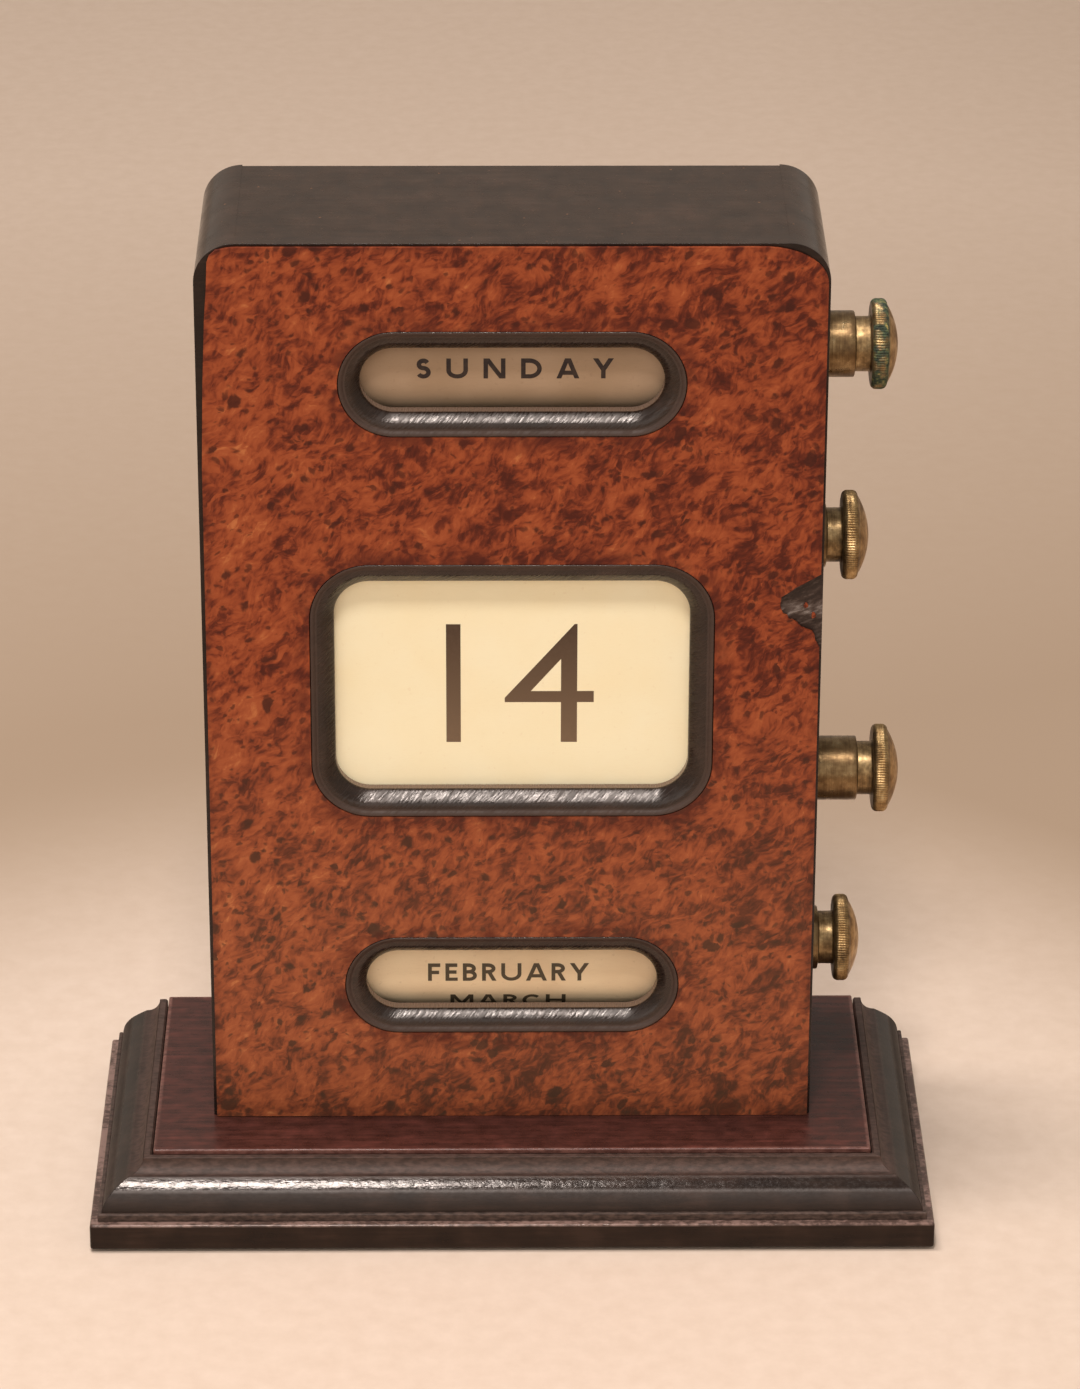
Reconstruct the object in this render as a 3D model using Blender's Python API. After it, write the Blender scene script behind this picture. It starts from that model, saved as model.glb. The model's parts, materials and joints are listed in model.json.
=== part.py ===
"""A desk calendar. An upright case stands on a moulded plinth. Its front has three framed windows:
the upper one shows the name of the day on a drum, the middle one the date on a paper scroll that
winds between two rollers, and the lower one the name of the month on a second drum. Each drum and
roller is turned by a brass knob in the right-hand side of the case.

Metres, +Z up. The origin is the centre of the plinth's underside, the front faces -Y and the knobs
point along +X.
"""

import math

import bmesh
import bpy
from mathutils import Matrix, Vector

# Plinth, from the table up
PLINTH_WIDTH = 0.1398
PLINTH_DEPTH = 0.0637
FELT_THICKNESS = 0.0004
FELT_INSET = 0.0030
BASE_BOARD_THICKNESS = 0.0046
BASE_BOARD_EDGE = 0.0004
MOULDING_LEDGE = 0.0013
MOULDING_FILLET_HEIGHT = 0.0012
MOULDING_QUIRK = 0.0007
MOULDING_OVOLO = 0.0044
MOULDING_COVE = 0.0022
MOULDING_BORDER = 0.0014
PANEL_PROUD = 0.0006
PANEL_THICKNESS = 0.0020
PANEL_EDGE = 0.00025

# Case. Its height and depth follow from the drums and rollers inside.
CASE_WIDTH = 0.1000
CASE_SETBACK = 0.02125
SIDE_THICKNESS = 0.0065
TOP_THICKNESS = 0.0085
BOTTOM_THICKNESS = 0.0065
FRONT_BOARD_THICKNESS = 0.0033
VENEER_THICKNESS = 0.0006
VENEER_MARGIN = 0.0004
BACK_THICKNESS = 0.0030
BACK_REBATE_HEIGHT = 0.0060
CASE_EDGE = 0.0004

# The loss in the veneer on the right-hand edge, below the second knob
CHIP_REACH = 0.0063
CHIP_HEIGHT = 0.0097
CHIP_DROP = 0.0617
CHIP_POINT_SHARE = 0.52

# Windows, each in front of its drum or between the date rollers
NAME_WINDOW_WIDTH = 0.0552
NAME_WINDOW_HEIGHT = 0.0178
DATE_WINDOW_WIDTH = 0.0652
DATE_WINDOW_HEIGHT = 0.0450
DATE_WINDOW_CORNER = 0.0096

# Frames round the windows
BEZEL_WIDTH = 0.0035
BEZEL_RIM = 0.0009
BEZEL_QUIRK = 0.0003
BEZEL_LIP = 0.0003

# Drums and rollers, all on one line behind the front, with the free spaces round them
DRUM_RADIUS = 0.0123
DRUM_SET_IN = 0.0005
SPACE_BEHIND_DRUMS = 0.0047
SPACE_BELOW_MONTH_DRUM = 0.0061
SPACE_BELOW_DATE_ROLLS = 0.0074
SPACE_ABOVE_DATE_ROLLS = 0.0090
SPACE_ABOVE_DAY_DRUM = 0.0025
DAY_AXIS_RISE = 0.0002
DATE_ROLLER_REACH = 0.0022
DATE_ROLLERS_DROP = 0.0008
PAPER_ROLL_THICKNESS = 0.00175
BAND_LAP = 0.0050
BAND_THICKNESS = 0.00025
ROLLER_END_PLAY = 0.0004

# Date scroll where it crosses the window
SCROLL_THICKNESS = 0.00025
SCROLL_SET_IN = 0.00015
SCROLL_OVERLAP = 0.0008
SCROLL_HIDING = 0.0012

# Pivots and washers at the left-hand ends
PIVOT_RADIUS = 0.0015
PIVOT_IN_ROLLER = 0.0045
PIVOT_IN_SIDE = 0.0040
WASHER_RADIUS = 0.0060
WASHER_THICKNESS = 0.0008

# Knobs
HEAD_RADIUS = 0.0073
HEAD_RIM = 0.0026
HEAD_DOME = 0.0018
HEAD_EDGE = 0.0005
KNURL_DEPTH = 0.0002
NECK_STEP = 0.0009
NECK_LENGTH = 0.0026
JOURNAL_RADIUS = 0.00535
JOURNAL_LENGTH = 0.0110
JOURNAL_PROUD = 0.0012
JOURNAL_EDGE = 0.0003
SHANK_SIDE = 0.0044
SHANK_LENGTH = 0.0130
DAY_KNOB_PULL = 0.0038
DATE_UPPER_KNOB_PULL = 0.0
DATE_LOWER_KNOB_PULL = 0.0061
MONTH_KNOB_PULL = 0.0004

# Screws
SCREW_RADIUS = 0.0014
SCREW_HEAD_RADIUS = 0.0022
SCREW_HEAD_DEPTH = 0.0013
SCREW_SLOT_WIDTH = 0.0006
SCREW_SLOT_DEPTH = 0.0006
BACK_SCREW_LENGTH = 0.0110
BACK_SCREW_INSET = 0.0140
FIXING_SCREW_BITE = 0.0040
FIXING_SCREW_INSET = 0.0220

# Clearances
GLUE_LINE = 0.0001
PAPER_GAP = 0.00005
RUNNING_GAP = 0.00012
ROLL_GAP = 0.0002
SOCKET_GAP = 0.00025
BLIND_GAP = 0.0003
OVERRUN = 0.0010

# How finely curves are divided
DRUM_SEGMENTS = 48
KNURL_TEETH = 40
BORE_SEGMENTS = 32
SCREW_SEGMENTS = 16
QUARTER_SEGMENTS = 8
DOME_SEGMENTS = 5

# Places that follow from the sizes
MOULDING_WIDTH = MOULDING_LEDGE + MOULDING_QUIRK + MOULDING_OVOLO + MOULDING_COVE + MOULDING_BORDER
MOULDING_HEIGHT = MOULDING_FILLET_HEIGHT + MOULDING_OVOLO + MOULDING_COVE
BASE_BOARD_BOTTOM = FELT_THICKNESS + GLUE_LINE
BASE_BOARD_TOP = BASE_BOARD_BOTTOM + BASE_BOARD_THICKNESS
MOULDING_BOTTOM = BASE_BOARD_TOP + GLUE_LINE
MOULDING_TOP = MOULDING_BOTTOM + MOULDING_HEIGHT
PLINTH_TOP = MOULDING_TOP + PANEL_PROUD
PANEL_BOTTOM = PLINTH_TOP - PANEL_THICKNESS
FRONT_THICKNESS = VENEER_THICKNESS + GLUE_LINE + FRONT_BOARD_THICKNESS
FRONT_Y = CASE_SETBACK - PLINTH_DEPTH / 2
CARCASS_Y = FRONT_Y + FRONT_THICKNESS + GLUE_LINE
AXIS_Y = FRONT_Y + FRONT_THICKNESS + DRUM_SET_IN + DRUM_RADIUS
BACK_Y = AXIS_Y + DRUM_RADIUS + SPACE_BEHIND_DRUMS + BACK_THICKNESS
SCROLL_Y = FRONT_Y + FRONT_THICKNESS + SCROLL_SET_IN
PAPER_ROLL_RADIUS = AXIS_Y - SCROLL_Y - SCROLL_THICKNESS - ROLL_GAP
DATE_ROLLER_RADIUS = PAPER_ROLL_RADIUS - PAPER_ROLL_THICKNESS - PAPER_GAP
ROLL_OFFSET = DRUM_RADIUS + PAPER_ROLL_RADIUS
CASE_BOTTOM = PLINTH_TOP + GLUE_LINE
MONTH_AXIS_Z = CASE_BOTTOM + BOTTOM_THICKNESS + SPACE_BELOW_MONTH_DRUM + DRUM_RADIUS
DATE_LOWER_AXIS_Z = MONTH_AXIS_Z + ROLL_OFFSET + SPACE_BELOW_DATE_ROLLS
DATE_ROLLER_SPACING = DATE_WINDOW_HEIGHT - 2 * BEZEL_WIDTH + 2 * DATE_ROLLER_REACH
DATE_UPPER_AXIS_Z = DATE_LOWER_AXIS_Z + DATE_ROLLER_SPACING
DAY_AXIS_Z = DATE_UPPER_AXIS_Z + ROLL_OFFSET + SPACE_ABOVE_DATE_ROLLS
AXIS_HEIGHTS = (DAY_AXIS_Z, DATE_UPPER_AXIS_Z, DATE_LOWER_AXIS_Z, MONTH_AXIS_Z)
CASE_TOP = DAY_AXIS_Z + DRUM_RADIUS + SPACE_ABOVE_DAY_DRUM + TOP_THICKNESS
DAY_Z = DAY_AXIS_Z - DAY_AXIS_RISE
DATE_Z = (DATE_UPPER_AXIS_Z + DATE_LOWER_AXIS_Z) / 2 + DATE_ROLLERS_DROP
MONTH_Z = MONTH_AXIS_Z
INNER_HALF_WIDTH = CASE_WIDTH / 2 - SIDE_THICKNESS
CORNER_RADIUS = SIDE_THICKNESS
BACK_TOP = CASE_TOP - TOP_THICKNESS + BACK_REBATE_HEIGHT
NAME_WINDOW_CORNER = NAME_WINDOW_HEIGHT / 2
NAME_BAND_WIDTH = NAME_WINDOW_WIDTH + 2 * (BAND_LAP - BEZEL_WIDTH)
DATE_BAND_WIDTH = DATE_WINDOW_WIDTH + 2 * (BAND_LAP - BEZEL_WIDTH)
SCROLL_TOP = DATE_WINDOW_HEIGHT / 2 - BEZEL_WIDTH + SCROLL_OVERLAP
SCROLL_BOTTOM = MONTH_Z - DATE_Z + NAME_WINDOW_HEIGHT / 2 - BEZEL_WIDTH + SCROLL_HIDING
NECK_RADIUS = JOURNAL_RADIUS - NECK_STEP
FIXING_SCREW_LENGTH = CASE_BOTTOM + FIXING_SCREW_BITE - BASE_BOARD_BOTTOM
ROLLER_LEFT = -INNER_HALF_WIDTH + WASHER_THICKNESS + 2 * GLUE_LINE
ROLLER_RIGHT = INNER_HALF_WIDTH - ROLLER_END_PLAY
JOURNAL_HOME_END = CASE_WIDTH / 2 + JOURNAL_PROUD - JOURNAL_LENGTH
KNOB_HOME_X = CASE_WIDTH / 2 + JOURNAL_PROUD + NECK_LENGTH


def clear_scene():
    for thing in list(bpy.data.objects):
        bpy.data.objects.remove(thing, do_unlink=True)


def make_material(name, colour, roughness, metallic=0.0):
    material = bpy.data.materials.new(name)
    material.use_nodes = True
    shader = material.node_tree.nodes["Principled BSDF"]
    shader.inputs["Base Color"].default_value = (*colour, 1.0)
    shader.inputs["Roughness"].default_value = roughness
    shader.inputs["Metallic"].default_value = metallic
    material.diffuse_color = (*colour, 1.0)
    return material


def make_object(name, mesh, colour, parent=None, place=(0.0, 0.0, 0.0)):
    """A piece of the calendar, with a material of its own."""
    thing = bpy.data.objects.new(name, mesh)
    bpy.context.scene.collection.objects.link(thing)
    thing.parent = parent
    thing.location = place
    finish = FINISHES[colour]
    mesh.materials.append(make_material(name, *finish))
    return thing


def make_axis(name, height):
    """An empty on a turning axis, which carries the pieces that turn about it."""
    axis = bpy.data.objects.new(name, None)
    bpy.context.scene.collection.objects.link(axis)
    axis.location = (0.0, AXIS_Y, height)
    return axis


def mesh_from(bm, name, smooth_angle=None):
    bmesh.ops.recalc_face_normals(bm, faces=bm.faces[:])
    mesh = bpy.data.meshes.new(name)
    bm.to_mesh(mesh)
    bm.free()
    if smooth_angle is not None:
        mesh.shade_smooth()
        mesh.set_sharp_from_angle(angle=smooth_angle)
    return mesh


def prism_mesh(name, outline, low, high, axis="Y"):
    """A flat outline pushed along Y or X, from low to high."""
    bm = bmesh.new()
    if axis == "Y":
        corners = [bm.verts.new((x, low, z)) for x, z in outline]
        push = Vector((0.0, high - low, 0.0))
    else:
        corners = [bm.verts.new((low, y, z)) for y, z in outline]
        push = Vector((high - low, 0.0, 0.0))
    face = bm.faces.new(corners)
    grown = bmesh.ops.extrude_face_region(bm, geom=[face])
    moved = [item for item in grown["geom"] if isinstance(item, bmesh.types.BMVert)]
    bmesh.ops.translate(bm, vec=push, verts=moved)
    return mesh_from(bm, name, math.radians(30))


def box_mesh(name, low, high):
    outline = [(low[0], low[2]), (high[0], low[2]), (high[0], high[2]), (low[0], high[2])]
    return prism_mesh(name, outline, low[1], high[1])


def turned_mesh(name, profile, segments, axis="X"):
    """A closed turned shape. The profile lists (distance along the axis, radius) from one end of
    the axis to the other."""
    bm = bmesh.new()
    line = [bm.verts.new((along, 0.0, radius)) for along, radius in profile]
    edges = [bm.edges.new(pair) for pair in zip(line[:-1], line[1:])]
    bmesh.ops.spin(
        bm,
        geom=line + edges,
        cent=(0.0, 0.0, 0.0),
        axis=(1.0, 0.0, 0.0),
        angle=math.tau,
        steps=segments,
        use_merge=True,
    )
    bmesh.ops.remove_doubles(bm, verts=bm.verts[:], dist=PAPER_GAP / segments)
    if axis == "Y":
        bm.transform(Matrix.Rotation(math.pi / 2, 4, "Z"))
    if axis == "Z":
        bm.transform(Matrix.Rotation(-math.pi / 2, 4, "Y"))
    return mesh_from(bm, name, math.radians(35))


def arc(centre, radius, start, end, segments):
    """Points along an arc, with its angles in degrees."""
    points = []
    for step in range(segments + 1):
        angle = math.radians(start + (end - start) * step / segments)
        points.append((centre[0] + radius * math.cos(angle), centre[1] + radius * math.sin(angle)))
    return points


def without_repeats(points):
    kept = []
    for point in points:
        if not kept or math.dist(point, kept[-1]) > PAPER_GAP / DRUM_SEGMENTS:
            kept.append(point)
    if math.dist(kept[0], kept[-1]) <= PAPER_GAP / DRUM_SEGMENTS:
        kept.pop()
    return kept


def window_outline(width, height, corner, centre_z, inset=0.0):
    """A rectangle with round corners, drawn anticlockwise as seen from the front."""
    half_width = width / 2 - inset
    half_height = height / 2 - inset
    radius = corner - inset
    quarters = (
        (half_width - radius, half_height - radius, 0, 90),
        (radius - half_width, half_height - radius, 90, 180),
        (radius - half_width, radius - half_height, 180, 270),
        (half_width - radius, radius - half_height, 270, 360),
    )
    points = []
    for x, z, start, end in quarters:
        points += arc((x, centre_z + z), radius, start, end, QUARTER_SEGMENTS)
    return without_repeats(points)


def bevel_edges(thing, width):
    bevel = thing.modifiers.new("eased edges", "BEVEL")
    bevel.width = width
    bevel.segments = 2
    bevel.limit_method = "ANGLE"
    bevel.angle_limit = math.radians(40)


def cut(thing, mesh, place=(0.0, 0.0, 0.0), operation="DIFFERENCE"):
    """Cuts a shape out of a piece, or joins it on, and keeps the cutter hidden."""
    cutter = bpy.data.objects.new(f"{thing.name}_{operation.lower()}", mesh)
    bpy.context.scene.collection.objects.link(cutter)
    cutter.parent = thing.parent
    cutter.location = place
    cutter.hide_render = True
    cutter.display_type = "WIRE"
    boolean = thing.modifiers.new(operation.lower(), "BOOLEAN")
    boolean.operation = operation
    boolean.solver = "EXACT"
    boolean.object = cutter


def rod_mesh(name, start, end, radius, axis="X", segments=BORE_SEGMENTS):
    profile = [(start, 0.0), (start, radius), (end, radius), (end, 0.0)]
    return turned_mesh(name, profile, segments, axis)


def screw_profile(length):
    """A countersunk screw from its head to its tip."""
    return [
        (0.0, 0.0),
        (0.0, SCREW_HEAD_RADIUS),
        (SCREW_HEAD_DEPTH, SCREW_RADIUS),
        (length - SCREW_HEAD_RADIUS, SCREW_RADIUS),
        (length, 0.0),
    ]


def screw_hole_mesh(name, length, axis):
    """The hole round a countersunk screw, open past its head."""
    profile = [
        (-OVERRUN, 0.0),
        (-OVERRUN, SCREW_HEAD_RADIUS + RUNNING_GAP),
        (0.0, SCREW_HEAD_RADIUS + RUNNING_GAP),
        (SCREW_HEAD_DEPTH, SCREW_RADIUS + RUNNING_GAP),
        (length - SCREW_HEAD_RADIUS, SCREW_RADIUS + RUNNING_GAP),
        (length + BLIND_GAP, 0.0),
    ]
    return turned_mesh(name, profile, SCREW_SEGMENTS, axis)


FINISHES = {
    "ebonised": ((0.030, 0.022, 0.018), 0.35),
    "burr": ((0.36, 0.12, 0.035), 0.45),
    "mahogany": ((0.11, 0.025, 0.018), 0.40),
    "inner_wood": ((0.42, 0.27, 0.14), 0.70),
    "paper": ((0.86, 0.76, 0.58), 0.80),
    "brass": ((0.62, 0.44, 0.20), 0.35, 1.0),
    "felt": ((0.05, 0.12, 0.07), 0.95),
}


def add_base():
    """The felt, the base board and the square edge of the plinth."""
    half_width = PLINTH_WIDTH / 2
    half_depth = PLINTH_DEPTH / 2
    felt = box_mesh(
        "base_felt",
        (FELT_INSET - half_width, FELT_INSET - half_depth, 0.0),
        (half_width - FELT_INSET, half_depth - FELT_INSET, FELT_THICKNESS),
    )
    make_object("base_felt", felt, "felt")
    board = box_mesh(
        "base_board",
        (-half_width, -half_depth, BASE_BOARD_BOTTOM),
        (half_width, half_depth, BASE_BOARD_TOP),
    )
    base = make_object("base_board", board, "ebonised")
    bevel_edges(base, BASE_BOARD_EDGE)
    return base


def moulding_profile():
    """(distance in from the outer edge, height) round the moulding, from its foot up its face."""
    ovolo_foot = MOULDING_BOTTOM + MOULDING_FILLET_HEIGHT
    ovolo_centre = (MOULDING_LEDGE + MOULDING_QUIRK + MOULDING_OVOLO, ovolo_foot)
    cove_centre = (ovolo_centre[0], ovolo_foot + MOULDING_OVOLO + MOULDING_COVE)
    points = [(MOULDING_LEDGE, MOULDING_BOTTOM), (MOULDING_LEDGE, ovolo_foot)]
    points += arc(ovolo_centre, MOULDING_OVOLO, 180, 90, QUARTER_SEGMENTS)
    points += arc(cove_centre, MOULDING_COVE, -90, 0, QUARTER_SEGMENTS // 2)
    points += [(MOULDING_WIDTH, MOULDING_TOP), (MOULDING_WIDTH, MOULDING_BOTTOM)]
    return without_repeats(points)


def moulding_mesh(name, place_start, place_end):
    """A length of moulding. Each end's function gives the place of a profile point there."""
    bm = bmesh.new()
    profile = moulding_profile()
    start = [bm.verts.new(place_start(inward, height)) for inward, height in profile]
    end = [bm.verts.new(place_end(inward, height)) for inward, height in profile]
    bm.faces.new(start)
    bm.faces.new(reversed(end))
    for index in range(len(profile)):
        after = (index + 1) % len(profile)
        bm.faces.new((start[index], start[after], end[after], end[index]))
    return mesh_from(bm, name, math.radians(30))


def add_mouldings():
    """The moulding runs along the front and both sides, mitred at the front corners."""
    half_width = PLINTH_WIDTH / 2
    half_depth = PLINTH_DEPTH / 2

    def front_end(side):
        return lambda inward, height: (
            side * (half_width - inward - GLUE_LINE),
            inward - half_depth,
            height,
        )

    def side_front(side):
        return lambda inward, height: (side * (half_width - inward), inward - half_depth, height)

    def side_back(side):
        return lambda inward, height: (side * (half_width - inward), half_depth, height)

    front = moulding_mesh("base_front_moulding", front_end(-1), front_end(1))
    make_object("base_front_moulding", front, "ebonised")
    left = moulding_mesh("base_left_moulding", side_front(-1), side_back(-1))
    make_object("base_left_moulding", left, "ebonised")
    right = moulding_mesh("base_right_moulding", side_front(1), side_back(1))
    make_object("base_right_moulding", right, "ebonised")


def add_core_and_panel():
    """The board inside the mouldings and the mahogany panel that stands a little proud of them."""
    half_width = PLINTH_WIDTH / 2 - MOULDING_WIDTH - GLUE_LINE
    front = MOULDING_WIDTH + GLUE_LINE - PLINTH_DEPTH / 2
    back = PLINTH_DEPTH / 2
    core = box_mesh(
        "plinth_core_board",
        (-half_width, front, MOULDING_BOTTOM),
        (half_width, back, PANEL_BOTTOM - GLUE_LINE),
    )
    core_board = make_object("plinth_core_board", core, "inner_wood")
    panel = box_mesh(
        "plinth_top_panel", (-half_width, front, PANEL_BOTTOM), (half_width, back, PLINTH_TOP)
    )
    top_panel = make_object("plinth_top_panel", panel, "mahogany")
    bevel_edges(top_panel, PANEL_EDGE)
    return core_board, top_panel


def side_outline(side):
    """A side board seen from the front, with its upper outer corner rounded."""
    outer = CASE_WIDTH / 2
    centre = (INNER_HALF_WIDTH, CASE_TOP - CORNER_RADIUS)
    points = [(INNER_HALF_WIDTH, CASE_BOTTOM), (outer, CASE_BOTTOM)]
    points += arc(centre, CORNER_RADIUS, 0, 90, QUARTER_SEGMENTS)
    return [(side * x, z) for x, z in without_repeats(points)]


def add_sides():
    """The left side holds the pivots, and the knobs turn in the right one."""
    left = prism_mesh("case_left_side", side_outline(-1), CARCASS_Y, BACK_Y)
    left_side = make_object("case_left_side", left, "ebonised")
    bevel_edges(left_side, CASE_EDGE)
    right = prism_mesh("case_right_side", side_outline(1), CARCASS_Y, BACK_Y)
    right_side = make_object("case_right_side", right, "ebonised")
    bevel_edges(right_side, CASE_EDGE)
    pivot_end = -INNER_HALF_WIDTH - PIVOT_IN_SIDE - BLIND_GAP
    for height in AXIS_HEIGHTS:
        hole = rod_mesh(
            "pivot_hole",
            pivot_end,
            OVERRUN - INNER_HALF_WIDTH,
            PIVOT_RADIUS + RUNNING_GAP,
            segments=SCREW_SEGMENTS,
        )
        cut(left_side, hole, (0.0, AXIS_Y, height))
        bore = rod_mesh(
            "knob_bore",
            INNER_HALF_WIDTH - OVERRUN,
            CASE_WIDTH / 2 + OVERRUN,
            JOURNAL_RADIUS + RUNNING_GAP,
        )
        cut(right_side, bore, (0.0, AXIS_Y, height))


def add_top_and_bottom():
    """The top board has a rebate that takes the upper edge of the back panel."""
    half_width = INNER_HALF_WIDTH - GLUE_LINE
    underside = CASE_TOP - TOP_THICKNESS
    back_inside = BACK_Y - BACK_THICKNESS - GLUE_LINE
    outline = [
        (CARCASS_Y, underside),
        (back_inside, underside),
        (back_inside, BACK_TOP + GLUE_LINE),
        (BACK_Y, BACK_TOP + GLUE_LINE),
        (BACK_Y, CASE_TOP),
        (CARCASS_Y, CASE_TOP),
    ]
    top = make_object(
        "case_top", prism_mesh("case_top", outline, -half_width, half_width, "X"), "ebonised"
    )
    bottom_mesh = box_mesh(
        "case_bottom",
        (-half_width, CARCASS_Y, CASE_BOTTOM),
        (half_width, back_inside, CASE_BOTTOM + BOTTOM_THICKNESS),
    )
    bottom = make_object("case_bottom", bottom_mesh, "inner_wood")
    return top, bottom


def front_outline(margin=0.0, chip=False):
    """The front of the case, with its upper corners rounded and, where asked, the chipped edge."""
    half_width = CASE_WIDTH / 2 - margin
    top = CASE_TOP - margin
    radius = CORNER_RADIUS - margin
    points = [(-half_width, CASE_BOTTOM), (half_width, CASE_BOTTOM)]
    if chip:
        chip_top = CASE_TOP - CHIP_DROP + CHIP_HEIGHT / 2
        points += [
            (half_width, chip_top - CHIP_HEIGHT),
            (half_width - CHIP_REACH, chip_top - CHIP_HEIGHT * CHIP_POINT_SHARE),
            (half_width, chip_top),
        ]
    points += arc((half_width - radius, top - radius), radius, 0, 90, QUARTER_SEGMENTS)
    points += arc((radius - half_width, top - radius), radius, 90, 180, QUARTER_SEGMENTS)
    return without_repeats(points)


def add_front():
    """The front board and the burr veneer on it, each with the three windows."""
    windows = (
        (NAME_WINDOW_WIDTH, NAME_WINDOW_HEIGHT, NAME_WINDOW_CORNER, DAY_Z),
        (DATE_WINDOW_WIDTH, DATE_WINDOW_HEIGHT, DATE_WINDOW_CORNER, DATE_Z),
        (NAME_WINDOW_WIDTH, NAME_WINDOW_HEIGHT, NAME_WINDOW_CORNER, MONTH_Z),
    )
    board_front = FRONT_Y + VENEER_THICKNESS + GLUE_LINE
    board = make_object(
        "front_board",
        prism_mesh("front_board", front_outline(), board_front, FRONT_Y + FRONT_THICKNESS),
        "ebonised",
    )
    veneer = make_object(
        "burr_veneer",
        prism_mesh(
            "burr_veneer",
            front_outline(VENEER_MARGIN, chip=True),
            FRONT_Y,
            FRONT_Y + VENEER_THICKNESS,
        ),
        "burr",
    )
    for window in windows:
        outline = window_outline(*window, inset=-GLUE_LINE)
        hole = prism_mesh(
            "window_hole", outline, FRONT_Y - OVERRUN, FRONT_Y + FRONT_THICKNESS + OVERRUN
        )
        cut(board, hole)
        cut(veneer, hole)


def bezel_profile():
    """(distance in from the outer edge, depth) round a window frame: a narrow rim, a quirk and a
    convex quarter round that falls back to the opening."""
    quarter_width = BEZEL_WIDTH - BEZEL_RIM
    quarter_foot = FRONT_THICKNESS - BEZEL_LIP
    quarter_depth = quarter_foot - BEZEL_QUIRK
    points = [(0.0, FRONT_THICKNESS), (0.0, 0.0), (BEZEL_RIM, 0.0)]
    for step in range(QUARTER_SEGMENTS + 1):
        angle = math.pi / 2 * step / QUARTER_SEGMENTS
        inward = BEZEL_RIM + quarter_width * math.sin(angle)
        points.append((inward, quarter_foot - quarter_depth * math.cos(angle)))
    points.append((BEZEL_WIDTH, FRONT_THICKNESS))
    return points


def bezel_mesh(name, width, height, corner):
    """The frame's profile carried round the window's outline."""
    bm = bmesh.new()
    rings = []
    for inward, depth in bezel_profile():
        outline = window_outline(width, height, corner, 0.0, inset=inward)
        rings.append([bm.verts.new((x, depth, z)) for x, z in outline])
    for index, ring in enumerate(rings):
        after = rings[(index + 1) % len(rings)]
        for place in range(len(ring)):
            following = (place + 1) % len(ring)
            bm.faces.new((ring[place], ring[following], after[following], after[place]))
    return mesh_from(bm, name, math.radians(30))


def add_bezels():
    name_window = (NAME_WINDOW_WIDTH, NAME_WINDOW_HEIGHT, NAME_WINDOW_CORNER)
    date_window = (DATE_WINDOW_WIDTH, DATE_WINDOW_HEIGHT, DATE_WINDOW_CORNER)
    day = bezel_mesh("day_bezel", *name_window)
    make_object("day_bezel", day, "ebonised", place=(0.0, FRONT_Y, DAY_Z))
    date = bezel_mesh("date_bezel", *date_window)
    make_object("date_bezel", date, "ebonised", place=(0.0, FRONT_Y, DATE_Z))
    month = bezel_mesh("month_bezel", *name_window)
    make_object("month_bezel", month, "ebonised", place=(0.0, FRONT_Y, MONTH_Z))


def add_back(top, bottom):
    """The back panel comes off with four screws, to reach the drums and the scroll."""
    half_width = INNER_HALF_WIDTH - GLUE_LINE
    panel = box_mesh(
        "back_panel",
        (-half_width, BACK_Y - BACK_THICKNESS, CASE_BOTTOM),
        (half_width, BACK_Y, BACK_TOP),
    )
    back = make_object("back_panel", panel, "ebonised")
    rows = (
        ("lower", (CASE_BOTTOM + CASE_BOTTOM + BOTTOM_THICKNESS) / 2, bottom),
        ("upper", (CASE_TOP - TOP_THICKNESS + BACK_TOP) / 2, top),
    )
    for row, height, board in rows:
        for side, sign in (("left", -1), ("right", 1)):
            place = (sign * (CASE_WIDTH / 2 - BACK_SCREW_INSET), BACK_Y, height)
            name = f"back_screw_{row}_{side}"
            screw_mesh = turned_mesh(
                name, screw_profile(BACK_SCREW_LENGTH), SCREW_SEGMENTS, "Y"
            )
            screw_mesh.transform(Matrix.Rotation(math.pi, 4, "Z"))
            screw = make_object(name, screw_mesh, "brass", place=place)
            slot = box_mesh(
                "slot",
                (-SCREW_HEAD_RADIUS * 2, -SCREW_SLOT_DEPTH, -SCREW_SLOT_WIDTH / 2),
                (SCREW_HEAD_RADIUS * 2, OVERRUN, SCREW_SLOT_WIDTH / 2),
            )
            cut(screw, slot, place)
            hole = screw_hole_mesh("screw_hole", BACK_SCREW_LENGTH, "Y")
            hole.transform(Matrix.Rotation(math.pi, 4, "Z"))
            cut(back, hole, place)
            cut(board, hole, place)


def add_fixing_screws(carriers):
    """Two screws from below hold the case on the plinth."""
    for side, sign in (("left", -1), ("right", 1)):
        place = (sign * (CASE_WIDTH / 2 - FIXING_SCREW_INSET), AXIS_Y, BASE_BOARD_BOTTOM)
        name = f"fixing_screw_{side}"
        screw_mesh = turned_mesh(name, screw_profile(FIXING_SCREW_LENGTH), SCREW_SEGMENTS, "Z")
        screw = make_object(name, screw_mesh, "brass", place=place)
        slot = box_mesh(
            "slot",
            (-SCREW_HEAD_RADIUS * 2, -SCREW_SLOT_WIDTH / 2, -OVERRUN),
            (SCREW_HEAD_RADIUS * 2, SCREW_SLOT_WIDTH / 2, SCREW_SLOT_DEPTH),
        )
        cut(screw, slot, place)
        hole = screw_hole_mesh("screw_hole", FIXING_SCREW_LENGTH, "Z")
        for carrier in carriers:
            cut(carrier, hole, place)


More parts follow.
